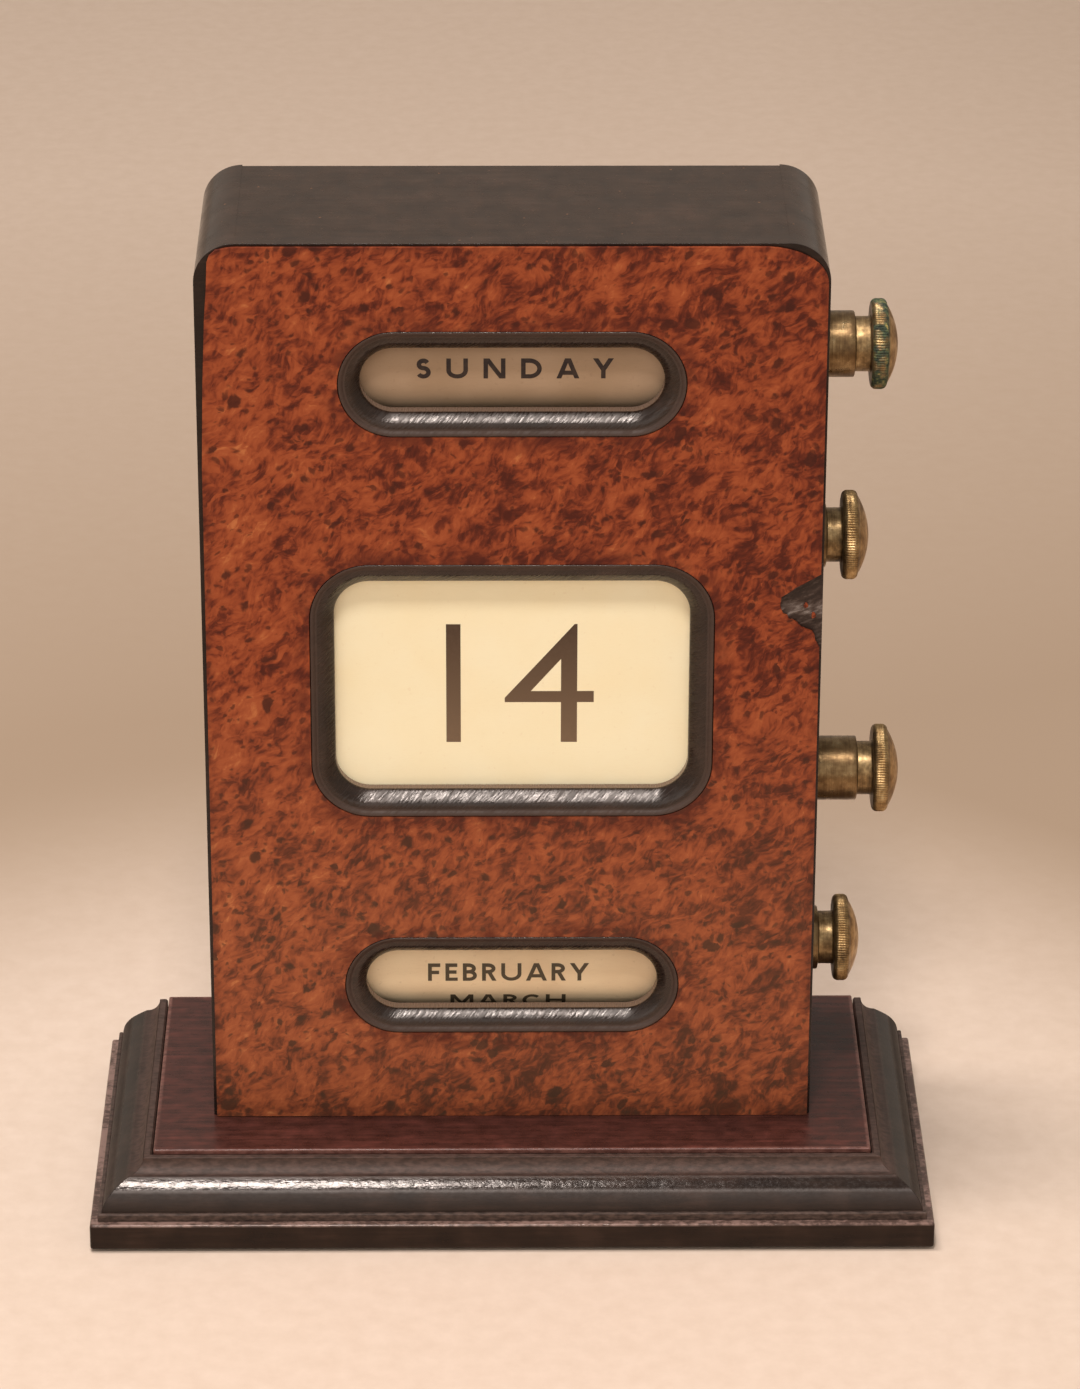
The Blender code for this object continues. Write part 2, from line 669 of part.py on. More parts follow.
def add_washer_and_pivot(name, axis):
    """At the left-hand end, a pin in the roller turns in the side board, and a felt washer drags
    on the roller so that it stays where it is put."""
    washer_left = -INNER_HALF_WIDTH + GLUE_LINE
    washer = rod_mesh(
        f"{name}_washer", washer_left, washer_left + WASHER_THICKNESS, WASHER_RADIUS,
        segments=SCREW_SEGMENTS * 2,
    )
    ring = make_object(f"{name}_washer", washer, "felt", place=axis.location)
    hole = rod_mesh(
        "washer_hole",
        washer_left - OVERRUN,
        washer_left + WASHER_THICKNESS + OVERRUN,
        PIVOT_RADIUS + RUNNING_GAP,
        segments=SCREW_SEGMENTS,
    )
    cut(ring, hole, axis.location)
    pin = rod_mesh(
        f"{name}_pivot_pin",
        -INNER_HALF_WIDTH - PIVOT_IN_SIDE,
        ROLLER_LEFT + PIVOT_IN_ROLLER,
        PIVOT_RADIUS,
        segments=SCREW_SEGMENTS,
    )
    make_object(f"{name}_pivot_pin", pin, "brass", parent=axis)


def cut_sockets(roller):
    """The pin's hole on the left, and on the right a counterbore for the knob's journal and a
    square socket for its shank."""
    pin_hole = rod_mesh(
        "pin_hole",
        ROLLER_LEFT - OVERRUN,
        ROLLER_LEFT + PIVOT_IN_ROLLER + BLIND_GAP,
        PIVOT_RADIUS + PAPER_GAP,
        segments=SCREW_SEGMENTS,
    )
    cut(roller, pin_hole)
    counterbore = rod_mesh(
        "counterbore",
        JOURNAL_HOME_END - BLIND_GAP,
        ROLLER_RIGHT + OVERRUN,
        JOURNAL_RADIUS + SOCKET_GAP,
    )
    cut(roller, counterbore)
    half = SHANK_SIDE / 2 + RUNNING_GAP
    socket = box_mesh(
        "socket",
        (JOURNAL_HOME_END - SHANK_LENGTH - BLIND_GAP, -half, -half),
        (ROLLER_RIGHT, half, half),
    )
    cut(roller, socket)


def knob_profile():
    """From the middle of the domed face to the inner end of the journal, with zero at the back of
    the head."""
    face = HEAD_RIM + HEAD_DOME
    dome_base = HEAD_RADIUS - HEAD_EDGE
    dome_radius = (dome_base**2 + HEAD_DOME**2) / (2 * HEAD_DOME)
    widest = math.asin(dome_base / dome_radius)
    points = []
    for step in range(DOME_SEGMENTS + 1):
        angle = widest * step / DOME_SEGMENTS
        points.append(
            (face - dome_radius * (1 - math.cos(angle)), dome_radius * math.sin(angle))
        )
    journal_end = -NECK_LENGTH - JOURNAL_LENGTH
    points += [
        (HEAD_RIM - HEAD_EDGE, HEAD_RADIUS),
        (HEAD_EDGE, HEAD_RADIUS),
        (0.0, HEAD_RADIUS - HEAD_EDGE),
        (0.0, NECK_RADIUS),
        (-NECK_LENGTH, NECK_RADIUS),
        (-NECK_LENGTH, JOURNAL_RADIUS - JOURNAL_EDGE),
        (-NECK_LENGTH - JOURNAL_EDGE, JOURNAL_RADIUS),
        (journal_end, JOURNAL_RADIUS),
        (journal_end, 0.0),
    ]
    return points


def cut_knurl(mesh):
    """Presses a groove between each two teeth round the head's rim."""
    for vertex in mesh.vertices:
        across = vertex.co.yz
        if across.length < HEAD_RADIUS - HEAD_EDGE / 2:
            continue
        step = round(math.atan2(across.y, across.x) / math.tau * 2 * KNURL_TEETH)
        if step % 2:
            vertex.co.yz = across * (1 - KNURL_DEPTH / HEAD_RADIUS)


def add_knob(name, axis, pull):
    """A turned brass knob with a journal that turns in the case and a square shank that drives the
    roller. It can be drawn out along the axis."""
    place = (KNOB_HOME_X + pull, 0.0, 0.0)
    mesh = turned_mesh(name, knob_profile(), 2 * KNURL_TEETH)
    cut_knurl(mesh)
    knob = make_object(name, mesh, "brass", parent=axis, place=place)
    journal_end = -NECK_LENGTH - JOURNAL_LENGTH
    half = SHANK_SIDE / 2
    shank = box_mesh(
        "shank",
        (journal_end - SHANK_LENGTH, -half, -half),
        (journal_end + JOURNAL_LENGTH / 2, half, half),
    )
    cut(knob, shank, place, operation="UNION")


def band_mesh(name, inner, outer, width):
    """A paper band or a wound roll of paper, as a tube."""
    bm = bmesh.new()
    rings = []
    for along, radius in (
        (-width / 2, inner),
        (-width / 2, outer),
        (width / 2, outer),
        (width / 2, inner),
    ):
        ring = []
        for step in range(DRUM_SEGMENTS):
            angle = math.tau * step / DRUM_SEGMENTS
            ring.append(bm.verts.new((along, radius * math.cos(angle), radius * math.sin(angle))))
        rings.append(ring)
    for index, ring in enumerate(rings):
        after = rings[(index + 1) % len(rings)]
        for place in range(DRUM_SEGMENTS):
            following = (place + 1) % DRUM_SEGMENTS
            bm.faces.new((ring[place], ring[following], after[following], after[place]))
    return mesh_from(bm, name, math.radians(35))


def add_drum(name, height, pull):
    """A wooden drum with a paper band of names round it, its pin, washer and knob."""
    axis = make_axis(f"{name}_axis", height)
    core_radius = DRUM_RADIUS - BAND_THICKNESS - PAPER_GAP
    core = rod_mesh(f"{name}_drum", ROLLER_LEFT, ROLLER_RIGHT, core_radius, segments=DRUM_SEGMENTS)
    drum = make_object(f"{name}_drum", core, "inner_wood", parent=axis)
    cut_sockets(drum)
    band = band_mesh(f"{name}_band", DRUM_RADIUS - BAND_THICKNESS, DRUM_RADIUS, NAME_BAND_WIDTH)
    make_object(f"{name}_band", band, "paper", parent=axis)
    add_washer_and_pivot(name, axis)
    add_knob(f"{name}_knob", axis, pull)


def add_date_roller(name, height, pull):
    """A wooden roller with its share of the paper scroll wound on it."""
    axis = make_axis(f"{name}_axis", height)
    core = rod_mesh(
        f"{name}_roller", ROLLER_LEFT, ROLLER_RIGHT, DATE_ROLLER_RADIUS, segments=DRUM_SEGMENTS
    )
    roller = make_object(f"{name}_roller", core, "inner_wood", parent=axis)
    cut_sockets(roller)
    roll = band_mesh(
        f"{name}_paper_roll", DATE_ROLLER_RADIUS + PAPER_GAP, PAPER_ROLL_RADIUS, DATE_BAND_WIDTH
    )
    make_object(f"{name}_paper_roll", roll, "paper", parent=axis)
    add_washer_and_pivot(name, axis)
    add_knob(f"{name}_knob", axis, pull)


def add_scroll():
    """The length of the scroll that crosses the date window, with the next date below it."""
    mesh = box_mesh(
        "date_scroll",
        (-DATE_BAND_WIDTH / 2, 0.0, SCROLL_BOTTOM),
        (DATE_BAND_WIDTH / 2, SCROLL_THICKNESS, SCROLL_TOP),
    )
    make_object("date_scroll", mesh, "paper", place=(0.0, SCROLL_Y, DATE_Z))


def build():
    clear_scene()
    base = add_base()
    add_mouldings()
    core_board, top_panel = add_core_and_panel()
    add_sides()
    top, bottom = add_top_and_bottom()
    add_front()
    add_bezels()
    add_back(top, bottom)
    add_fixing_screws((base, core_board, top_panel, bottom))
    add_drum("day", DAY_AXIS_Z, DAY_KNOB_PULL)
    add_date_roller("date_upper", DATE_UPPER_AXIS_Z, DATE_UPPER_KNOB_PULL)
    add_date_roller("date_lower", DATE_LOWER_AXIS_Z, DATE_LOWER_KNOB_PULL)
    add_scroll()
    add_drum("month", MONTH_AXIS_Z, MONTH_KNOB_PULL)


build()
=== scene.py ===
"""The looks of a desk calendar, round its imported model: burr veneer, black-stained wood, paper with
its lettering, brass knobs, and a plain studio. Metres, front towards -Y, knobs along +X."""

import json
import math
import random

import bmesh
import bpy
from mathutils import Matrix, Vector
from mathutils.geometry import delaunay_2d_cdt


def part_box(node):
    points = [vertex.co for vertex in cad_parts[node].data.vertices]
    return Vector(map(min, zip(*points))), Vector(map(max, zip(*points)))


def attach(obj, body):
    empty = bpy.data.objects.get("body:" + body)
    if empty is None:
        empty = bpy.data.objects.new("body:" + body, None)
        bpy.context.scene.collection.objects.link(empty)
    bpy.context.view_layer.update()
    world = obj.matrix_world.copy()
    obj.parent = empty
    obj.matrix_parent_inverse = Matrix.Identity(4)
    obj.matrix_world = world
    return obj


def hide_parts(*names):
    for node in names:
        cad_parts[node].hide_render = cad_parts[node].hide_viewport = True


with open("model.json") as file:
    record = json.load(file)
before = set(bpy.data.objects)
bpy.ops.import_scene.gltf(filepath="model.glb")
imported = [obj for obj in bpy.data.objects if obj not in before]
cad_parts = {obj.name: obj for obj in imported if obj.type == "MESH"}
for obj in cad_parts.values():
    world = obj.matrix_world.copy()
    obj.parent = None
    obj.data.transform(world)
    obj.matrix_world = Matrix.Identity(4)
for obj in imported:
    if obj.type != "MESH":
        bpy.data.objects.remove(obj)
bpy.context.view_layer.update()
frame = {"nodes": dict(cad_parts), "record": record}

MM = 0.001

# Sizes repeated from the part's source, in millimetres
BEZEL_DEPTH = 4.0
DATE_WINDOW_CORNER = 9.6
SIDE_THICKNESS = 6.5
MOULDING_LEDGE = 1.3
MOULDING_FILLET_HEIGHT = 1.2
MOULDING_QUIRK = 0.7
MOULDING_OVOLO = 4.4
MOULDING_COVE = 2.2
MOULDING_BORDER = 1.4
HEAD_RADIUS = 7.3
HEAD_RIM = 2.6
HEAD_DOME = 1.8
NECK_RADIUS = 4.45
NECK_LENGTH = 2.6
JOURNAL_RADIUS = 5.35
JOURNAL_LENGTH = 11.0
SHANK_SIDE = 4.4
SHANK_LENGTH = 13.0
DRUM_RADIUS = 12.3
AXIS_Y = 6.2
BORE_RADIUS = 5.47
SCREW_RADIUS = 1.4
SCREW_HEAD_RADIUS = 2.2
SCREW_HEAD_DEPTH = 1.3

# What only the dress has: its teeth, the steps round each tooth, and sizes in millimetres
KNURL_TEETH = 104
KNURL_STEPS = 6
KNURL_DEPTH = 0.13
MITRE_GAP = 0.05
EDGE_BORDER = 0.45
WIDEST_WORD = 38.0

WHITE = (1.0, 1.0, 1.0)
WARM_WHITE = (1.0, 0.96, 0.94)
KNOBS = ("day_knob", "date_upper_knob", "date_lower_knob", "month_knob")
DAYS = "SUNDAY MONDAY TUESDAY WEDNESDAY THURSDAY FRIDAY SATURDAY".split()
MONTHS = "FEBRUARY MARCH APRIL MAY JUNE JULY AUGUST SEPTEMBER OCTOBER NOVEMBER DECEMBER JANUARY".split()


def box_mm(node):
    low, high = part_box(node)
    return low / MM, high / MM


def axis_height(knob):
    low, high = box_mm(knob)
    return (low.z + high.z) / 2


def windows():
    """Each window frame's node, its low corner, half its size, its middle and its corners' radius."""
    for node in ("day_bezel", "date_bezel", "month_bezel"):
        low, high = box_mm(node)
        half = (high - low) / 2
        yield node, low, half, (low + high) / 2, DATE_WINDOW_CORNER if node == "date_bezel" else half.z


def rgb(red, green, blue):
    """Screen values from 0 to 255 as the linear colour that a shader takes."""

    def linear(value):
        value /= 255
        return value / 12.92 if value <= 0.04045 else ((value + 0.055) / 1.055) ** 2.4

    return (linear(red), linear(green), linear(blue), 1.0)


# Materials


class Look:
    """A material, with short ways to add its nodes. Lengths in it are millimetres."""

    def __init__(self, name):
        self.material = bpy.data.materials.new(name)
        self.material.use_nodes = True
        self.tree = self.material.node_tree
        self.shader = self.tree.nodes["Principled BSDF"]
        self.place = self.vector("SCALE", self.add("TexCoord", output="Object"), scale=1 / MM)

    def feed(self, socket, value):
        if isinstance(value, bpy.types.NodeSocket):
            self.tree.links.new(value, socket)
        else:
            socket.default_value = value

    def add(self, kind, inputs=None, output=0, **settings):
        node = self.tree.nodes.new("ShaderNode" + kind)
        for name, value in settings.items():
            setattr(node, name, value)
        for name, value in (inputs or {}).items():
            self.feed(node.inputs[name], value)
        return node.outputs[output]

    def vector(self, operation, first, second=None, scale=None, output=0):
        inputs = {0: first}
        if second is not None:
            inputs[1] = second
        if scale is not None:
            inputs["Scale"] = scale
        return self.add("VectorMath", inputs, output, operation=operation)

    def maths(self, operation, first, second=0.5, clamp=False):
        return self.add("Math", {0: first, 1: second}, operation=operation, use_clamp=clamp)

    def plus(self, first, second, clamp=False):
        return self.maths("ADD", first, second, clamp)

    def minus(self, first, second, clamp=False):
        return self.maths("SUBTRACT", first, second, clamp)

    def times(self, first, second):
        return self.maths("MULTIPLY", first, second)

    def most(self, first, second):
        return self.maths("MAXIMUM", first, second)

    def grid(self, size, turn=(0, 0, 0), shift=(0, 0, 0), source=None):
        """Coordinates that count in steps of the given size, after a turn in degrees."""
        angles = tuple(math.radians(angle) for angle in turn)
        inputs = {
            "Vector": self.place if source is None else source,
            "Location": shift,
            "Rotation": angles,
            "Scale": size,
        }
        return self.add("Mapping", inputs, vector_type="TEXTURE")

    def noise(self, vector, detail=3.0, roughness=0.5, distortion=0.0, output=0):
        inputs = {
            "Vector": vector,
            "Scale": 1.0,
            "Detail": detail,
            "Roughness": roughness,
            "Distortion": distortion,
        }
        return self.add("TexNoise", inputs, output)

    def clouds(self, size, detail=3.0, roughness=0.5, distortion=0.0, turn=(0, 0, 0), shift=(0, 0, 0)):
        """Noise with patches of the given size."""
        return self.noise(self.grid(size, turn, shift), detail, roughness, distortion)

    def cells(self, vector, output):
        return self.add("TexVoronoi", {"Vector": vector, "Scale": 1.0}, output)

    def between(self, value, low, high, to_low=0.0, to_high=1.0, smooth=False):
        inputs = {0: value, 1: low, 2: high, 3: to_low, 4: to_high}
        kind = "SMOOTHSTEP" if smooth else "LINEAR"
        return self.add("MapRange", inputs, interpolation_type=kind, clamp=True)

    def mix(self, amount, first, second, blend="MIX"):
        inputs = {0: amount, 6: first, 7: second}
        return self.add("Mix", inputs, 2, data_type="RGBA", blend_type=blend)

    def ramp(self, value, *stops):
        """Colours along a value. Each stop is a position with its screen values."""
        node = self.tree.nodes.new("ShaderNodeValToRGB")
        self.tree.links.new(value, node.inputs[0])
        elements = node.color_ramp.elements
        while len(elements) < len(stops):
            elements.new(0.5)
        for element, (position, *screen) in zip(elements, stops):
            element.position = position
            element.color = rgb(*screen)
        return node.outputs[0]

    def parts(self, vector, axis):
        return self.add("SeparateXYZ", {0: vector}, axis)

    def mark(self, name):
        """A number kept on the mesh's points."""
        return self.add("Attribute", output="Fac", attribute_name=name)

    def facing(self, axis):
        return self.parts(self.add("NewGeometry", output="Normal"), axis)

    def edges(self):
        """One where the surface bends outwards, as along an edge."""
        return self.between(self.add("NewGeometry", output="Pointiness"), 0.51, 0.58)

    def bump(self, height, depth, normal=None):
        inputs = {"Height": height, "Distance": depth * MM, "Strength": 1.0}
        if normal is not None:
            inputs["Normal"] = normal
        return self.add("Bump", inputs)

    def finish(self, colour, roughness, normal=None, metallic=0.0, specular=0.5, tint=WHITE):
        self.feed(self.shader.inputs["Base Color"], colour)
        self.feed(self.shader.inputs["Roughness"], roughness)
        self.feed(self.shader.inputs["Metallic"], metallic)
        self.shader.inputs["Specular IOR Level"].default_value = specular
        self.shader.inputs["Specular Tint"].default_value = (*tint, 1.0)
        if normal is not None:
            self.feed(self.shader.inputs["Normal"], normal)
        return self.material


def beyond(look, centre, half, corner):
    """Distance outside a window, a rectangle with round corners seen from the front."""
    flat = look.vector("MULTIPLY", look.vector("SUBTRACT", look.place, tuple(centre)), (1, 0, 1))
    inner = (half.x - corner, 0.0, half.z - corner)
    past = look.vector("SUBTRACT", look.vector("ABSOLUTE", flat), inner)
    length = look.vector("LENGTH", look.vector("MAXIMUM", past, (0, 0, 0)), output="Value")
    return look.minus(length, corner)


def burr_material():
    """Soft clouds crossed by feathery strokes, dark eyes alone and in clusters, and a stain along the
    frames and the veneer's own edges."""
    look = Look("burr_veneer")

    def drifted(source, size, reach, shift=0.0):
        drift = look.noise(look.grid((size,) * 3, shift=(shift, 0, shift), source=source), 2, output=1)
        drift = look.vector("SUBTRACT", drift, (0.5, 0.5, 0.5))
        return look.vector("ADD", source, look.vector("SCALE", drift, scale=reach))

    place = drifted(look.place, 7.0, 4.0)
    near = drifted(place, 1.4, 0.9, 4.0)
    torn = drifted(near, 0.7, 0.75, 2.0)

    def strokes(angle, shift, length=2.5, width=0.62, detail=3):
        cells = look.grid((length, 1.0, width), (0, -angle, 0), (shift, 0, shift), place)
        return look.noise(cells, detail, 0.5, 0.4)

    def patches(size, shift, soft=0.05):
        grey = look.noise(look.grid((size,) * 3, shift=(shift, 3, shift), source=place), 1)
        return look.between(grey, 0.5 - soft, 0.5 + soft)

    feather = look.mix(patches(3.5, 11), strokes(18, 5), strokes(42, 21))
    feather = look.mix(patches(4.5, 47), feather, strokes(70, 33))
    cloud = look.noise(look.grid((2.4, 2.4, 1.7), (0, -36, 0), (7, 0, 2), near), 3, 0.55)
    broad = look.clouds((6, 6, 6), 2, shift=(2, 0, 5))
    flakes = look.cells(look.grid((2.3, 1.1, 1.1), (0, -38, 0), (2, 0, 6), near), "Color")
    tone = look.plus(look.times(feather, 0.33), look.times(cloud, 0.38))
    tone = look.plus(tone, look.times(broad, 0.30))
    tone = look.plus(tone, look.times(look.parts(flakes, 0), 0.09))
    height = look.parts(look.place, 2)
    # Painted shade: the tone is darker towards the right, away from the lamps on the left, and towards the
    # foot, next to the plinth.
    tone = look.plus(tone, look.between(look.parts(look.place, 0), -45, 5, -0.030, -0.066))
    tone = look.plus(tone, look.between(height, 26, 12, 0.0, -0.03))
    colour = look.ramp(
        tone, (0.36, 78, 30, 18), (0.43, 102, 42, 24), (0.49, 134, 60, 33), (0.55, 153, 73, 40),
        (0.62, 165, 83, 47), (0.70, 188, 110, 64),
    )
    density = look.minus(look.clouds((8, 8, 8), 2, shift=(5, 5, 5)), 0.5)

    def eyes(size, smallest, largest, soft, shift):
        """Dark spots of random sizes, more of them where the density is high."""
        cells = look.grid((size * 1.3, size, size), (0, -40, 0), (shift, 0, shift), torn)
        chance = look.parts(look.cells(cells, "Color"), 0)
        reach = look.between(chance, 0.0, 1.0, smallest, largest)
        reach = look.plus(reach, look.times(density, 0.8))
        past = look.minus(look.cells(cells, "Distance"), reach)
        return look.between(past, -soft, soft, 1.0, 0.0, True)

    large = look.times(eyes(2.6, -0.10, 0.32, 0.09, 3.0), 0.85)
    small = look.times(eyes(1.35, -0.08, 0.36, 0.12, 9.0), 0.68)
    colour = look.mix(look.most(large, small), colour, rgb(64, 27, 18))
    dull = look.between(height, 96, 50)
    colour = look.mix(dull, colour, (0.013, 0.020, 0.011, 1.0), "ADD")
    shade = None
    for _, _, half, middle, radius in windows():
        close = look.between(beyond(look, middle, half, radius), 0.0, 4.5, 1.0, 0.0, True)
        shade = close if shade is None else look.most(shade, close)
    low, high = box_mm("burr_veneer")
    side = look.maths("ABSOLUTE", look.parts(look.place, 0))
    rim = look.between(side, high.x - 2.2, high.x, smooth=True)
    foot = look.between(height, low.z + 4.0, low.z, smooth=True)
    top = look.between(height, high.z - 1.5, high.z, smooth=True)
    rim = look.most(rim, look.most(foot, top))
    shade = look.most(shade, look.times(rim, 0.6))
    cloudy = look.between(look.clouds((3.0, 3.0, 3.0), 4, 0.6, shift=(1, 8, 3)), 0.38, 0.60)
    shade = look.times(shade, look.times(cloudy, 0.75))
    colour = look.mix(shade, colour, rgb(78, 30, 20))
    roughness = look.between(tone, 0.35, 0.65, 0.52, 0.40)
    ripple = look.bump(look.clouds((9, 9, 9), 2), 0.05)
    grain = look.bump(tone, 0.02, ripple)
    return look.finish(colour, roughness, grain, specular=0.18)


def shoulder_polish(look, colour, roughness, height, levels):
    """Keeps a moulding's polish to its shoulder: dull below, rougher and lighter brown in blotches in the
    cove, and lighter at the foot, partly wear and partly a painted highlight.
    """
    fillet, below, above = levels
    blotch = look.clouds((1.5, 0.7, 0.7), 3, 0.6, shift=(2, 8, 4))
    dull = look.between(height, below - 0.3, below + 0.3, 0.46, 0.0)
    cove = look.between(height, above - 0.3, above + 0.2)
    roughness = look.plus(roughness, look.plus(dull, look.times(cove, 0.42)))
    cove = look.times(cove, look.between(blotch, 0.38, 0.62, 0.30, 0.85))
    colour = look.mix(cove, colour, rgb(84, 62, 54))
    # Wear and a painted highlight: the fillet at the foot is lighter in blotches.
    foot = look.between(height, fillet, fillet + 0.15, 1.0, 0.0)
    foot = look.times(foot, look.between(blotch, 0.38, 0.62, 0.05, 0.40))
    colour = look.mix(foot, colour, rgb(120, 96, 86))
    return colour, roughness


def dusted(look, colour, roughness):
    """Specks, a thin film and lint on what faces up."""
    cells = look.grid((1.7, 1.7, 1.7), shift=(0.3, 0.7, 0.2))
    chance = look.parts(look.cells(cells, "Color"), 0)
    reach = look.between(chance, 0.78, 1.0, 0.0, 0.14)
    speck = look.minus(look.cells(cells, "Distance"), reach)
    speck = look.between(speck, -0.03, 0.02, 0.6, 0.0)
    film = look.clouds((2.6, 6.0, 2.6), 4, 0.6)
    film = look.between(film, 0.35, 0.70, 0.03, 0.08)
    lint = look.clouds((1.1, 0.14, 0.3), 2, 0.6, turn=(0, 0, 40), shift=(3, 3, 0))
    lint = look.between(lint, 0.70, 0.76, 0.0, 0.5)
    layer = look.most(look.most(speck, film), lint)
    layer = look.times(layer, look.between(look.facing(2), 0.3, 0.95))
    colour = look.mix(layer, colour, rgb(126, 88, 64))
    roughness = look.plus(roughness, look.times(layer, 0.5), clamp=True)
    return colour, roughness


def coat(
    look,
    strokes,
    stroke_size=(1.9, 1.9, 0.12),
    stroke_depth=0.012,
    sheen=(0.17, 0.27),
    scuffed=0.0,
    dust=False,
    worn_above=None,
    bare=False,
    moulded=None,
):
    """Colour, roughness and normal of black-stained and polished wood: fine rubbed strokes and, where
    asked, scuffed ones, wear and a painted highlight on a board's top edge, bare wood lightened by
    painted light in a window frame with a rim painted paler as a sheen, dust on what faces up and a
    moulding that is polished only on its shoulder."""
    cloud = look.clouds((6, 6, 6), 3)
    grain = look.clouds((9, 0.7, 0.7), 3, 0.6, shift=(4, 2, 6))
    colour = look.ramp(
        look.plus(look.times(cloud, 0.6), look.times(grain, 0.4)), (0.36, 26, 16, 12),
        (0.52, 36, 24, 18), (0.66, 49, 34, 27),
    )
    height = look.parts(look.place, 2)
    if worn_above is not None:
        # Wear and a painted highlight: the board's top edge is lighter in chips.
        chips = look.clouds((1.3, 0.9, 0.9), 4, 0.65, shift=(9, 1, 5))
        sparse = look.clouds((16, 8, 8), 2, shift=(2, 5, 1))
        chips = look.between(look.plus(chips, sparse), 0.88, 1.08, 0.3, 1.0)
        worn = look.times(look.between(height, worn_above - 0.45, worn_above - 0.15), chips)
        colour = look.mix(worn, colour, rgb(134, 107, 97))
    if bare:
        # The inner wall is bare wood, its light tone partly painted light that fills the shade below the
        # paper; the rim's paler tone is a painted sheen on real roughness.
        colour = look.mix(look.mark("bare"), colour, rgb(152, 126, 108))
        colour = look.mix(look.times(look.mark("dull"), 0.26), colour, rgb(104, 78, 66))
    rubbed = look.noise(look.grid(stroke_size, strokes, (5, 5, 5)), 2, 0.6)
    polish = look.clouds((3, 3, 3), 3, shift=(8, 8, 1))
    roughness = look.between(polish, 0.3, 0.7, *sheen)
    if scuffed:
        roughness = look.plus(roughness, look.between(rubbed, 0.44, 0.60, 0.0, scuffed))
    if bare:
        roughness = look.plus(roughness, look.times(look.mark("dull"), 0.34))
    if moulded:
        colour, roughness = shoulder_polish(look, colour, roughness, height, moulded)
    if dust:
        colour, roughness = dusted(look, colour, roughness)
    marks = look.bump(rubbed, stroke_depth)
    soft = look.bump(cloud, 0.06, marks)
    return colour, roughness, look.bump(grain, 0.01, soft)


def ebonised_material(name, specular, **details):
    look = Look(name)
    colour, roughness, normal = coat(look, **details)
    return look.finish(colour, roughness, normal, specular=specular, tint=(1.0, 0.89, 0.82))


def mahogany_material():
    look = Look("mahogany")
    grain = look.clouds((14, 0.9, 0.9), 4, 0.6, 0.4)
    mottle = look.clouds((3.2, 2.0, 2.0), 4, 0.6, shift=(6, 1, 0))
    tone = look.plus(look.times(grain, 0.5), look.times(mottle, 0.5))
    colour = look.ramp(
        tone, (0.34, 50, 26, 22), (0.48, 68, 37, 31), (0.58, 82, 44, 37), (0.70, 100, 52, 44),
    )
    # Wear and a painted highlight: the panel's rounded edges are lighter in blotches.
    rubbed = look.between(look.clouds((1.6, 1.0, 1.0), 3, 0.6, shift=(3, 3, 8)), 0.4, 0.6, 0.2, 0.5)
    colour = look.mix(look.times(look.edges(), rubbed), colour, rgb(150, 104, 92))
    roughness = look.between(mottle, 0.35, 0.65, 0.24, 0.38)
    normal = look.bump(tone, 0.02, look.bump(look.clouds((7, 7, 7), 2), 0.05))
    return look.finish(colour, roughness, normal, specular=0.3)


def plain_wood_material():
    look = Look("inner_wood")
    grain = look.clouds((18, 0.8, 0.8), 4, 0.65, 0.6)
    colour = look.ramp(grain, (0.3, 122, 86, 52), (0.5, 164, 124, 82), (0.7, 190, 152, 108))
    return look.finish(colour, look.between(grain, 0.3, 0.7, 0.6, 0.8), look.bump(grain, 0.03))


def felt_material():
    look = Look("felt")
    fluff = look.clouds((0.25, 0.25, 0.25), 4, 0.7)
    colour = look.ramp(fluff, (0.3, 16, 30, 22), (0.7, 44, 72, 54))
    return look.finish(colour, 0.95, look.bump(fluff, 0.15))


def paper_material(name, light, dark, aged):
    """Paper with faint fibres and clouds, darker towards its aged places."""
    look = Look(name)
    fibre = look.clouds((1.4, 0.2, 0.2), 4, 0.7)
    cloud = look.clouds((14, 14, 14), 3, shift=(3, 6, 2))
    colour = look.mix(look.between(cloud, 0.35, 0.65), dark, light)
    spots = look.between(look.clouds((0.9, 0.9, 0.9), 2, shift=(1, 7, 7)), 0.66, 0.76)
    colour = look.mix(look.times(spots, 0.25), colour, aged)
    colour = look.mix(look.between(fibre, 0.5, 0.7, 0.0, 0.10), colour, aged)
    return look.finish(colour, 0.7, look.bump(fibre, 0.008), specular=0.3)


def ink_material(name, low, high, bottom, top):
    """Printing ink whose colour runs between two given colours from the foot of the letters to their top; the
    dates' lighter, browner foot is a painted sheen.
    """
    look = Look(name)
    height = look.parts(look.place, 2)
    colour = look.mix(look.between(height, low, high), bottom, top)
    patch = look.between(look.clouds((0.8, 0.8, 0.8), 3), 0.4, 0.7, 0.0, 0.25)
    colour = look.mix(patch, colour, rgb(104, 84, 66))
    return look.finish(colour, 0.6, look.bump(patch, 0.004), specular=0.3)


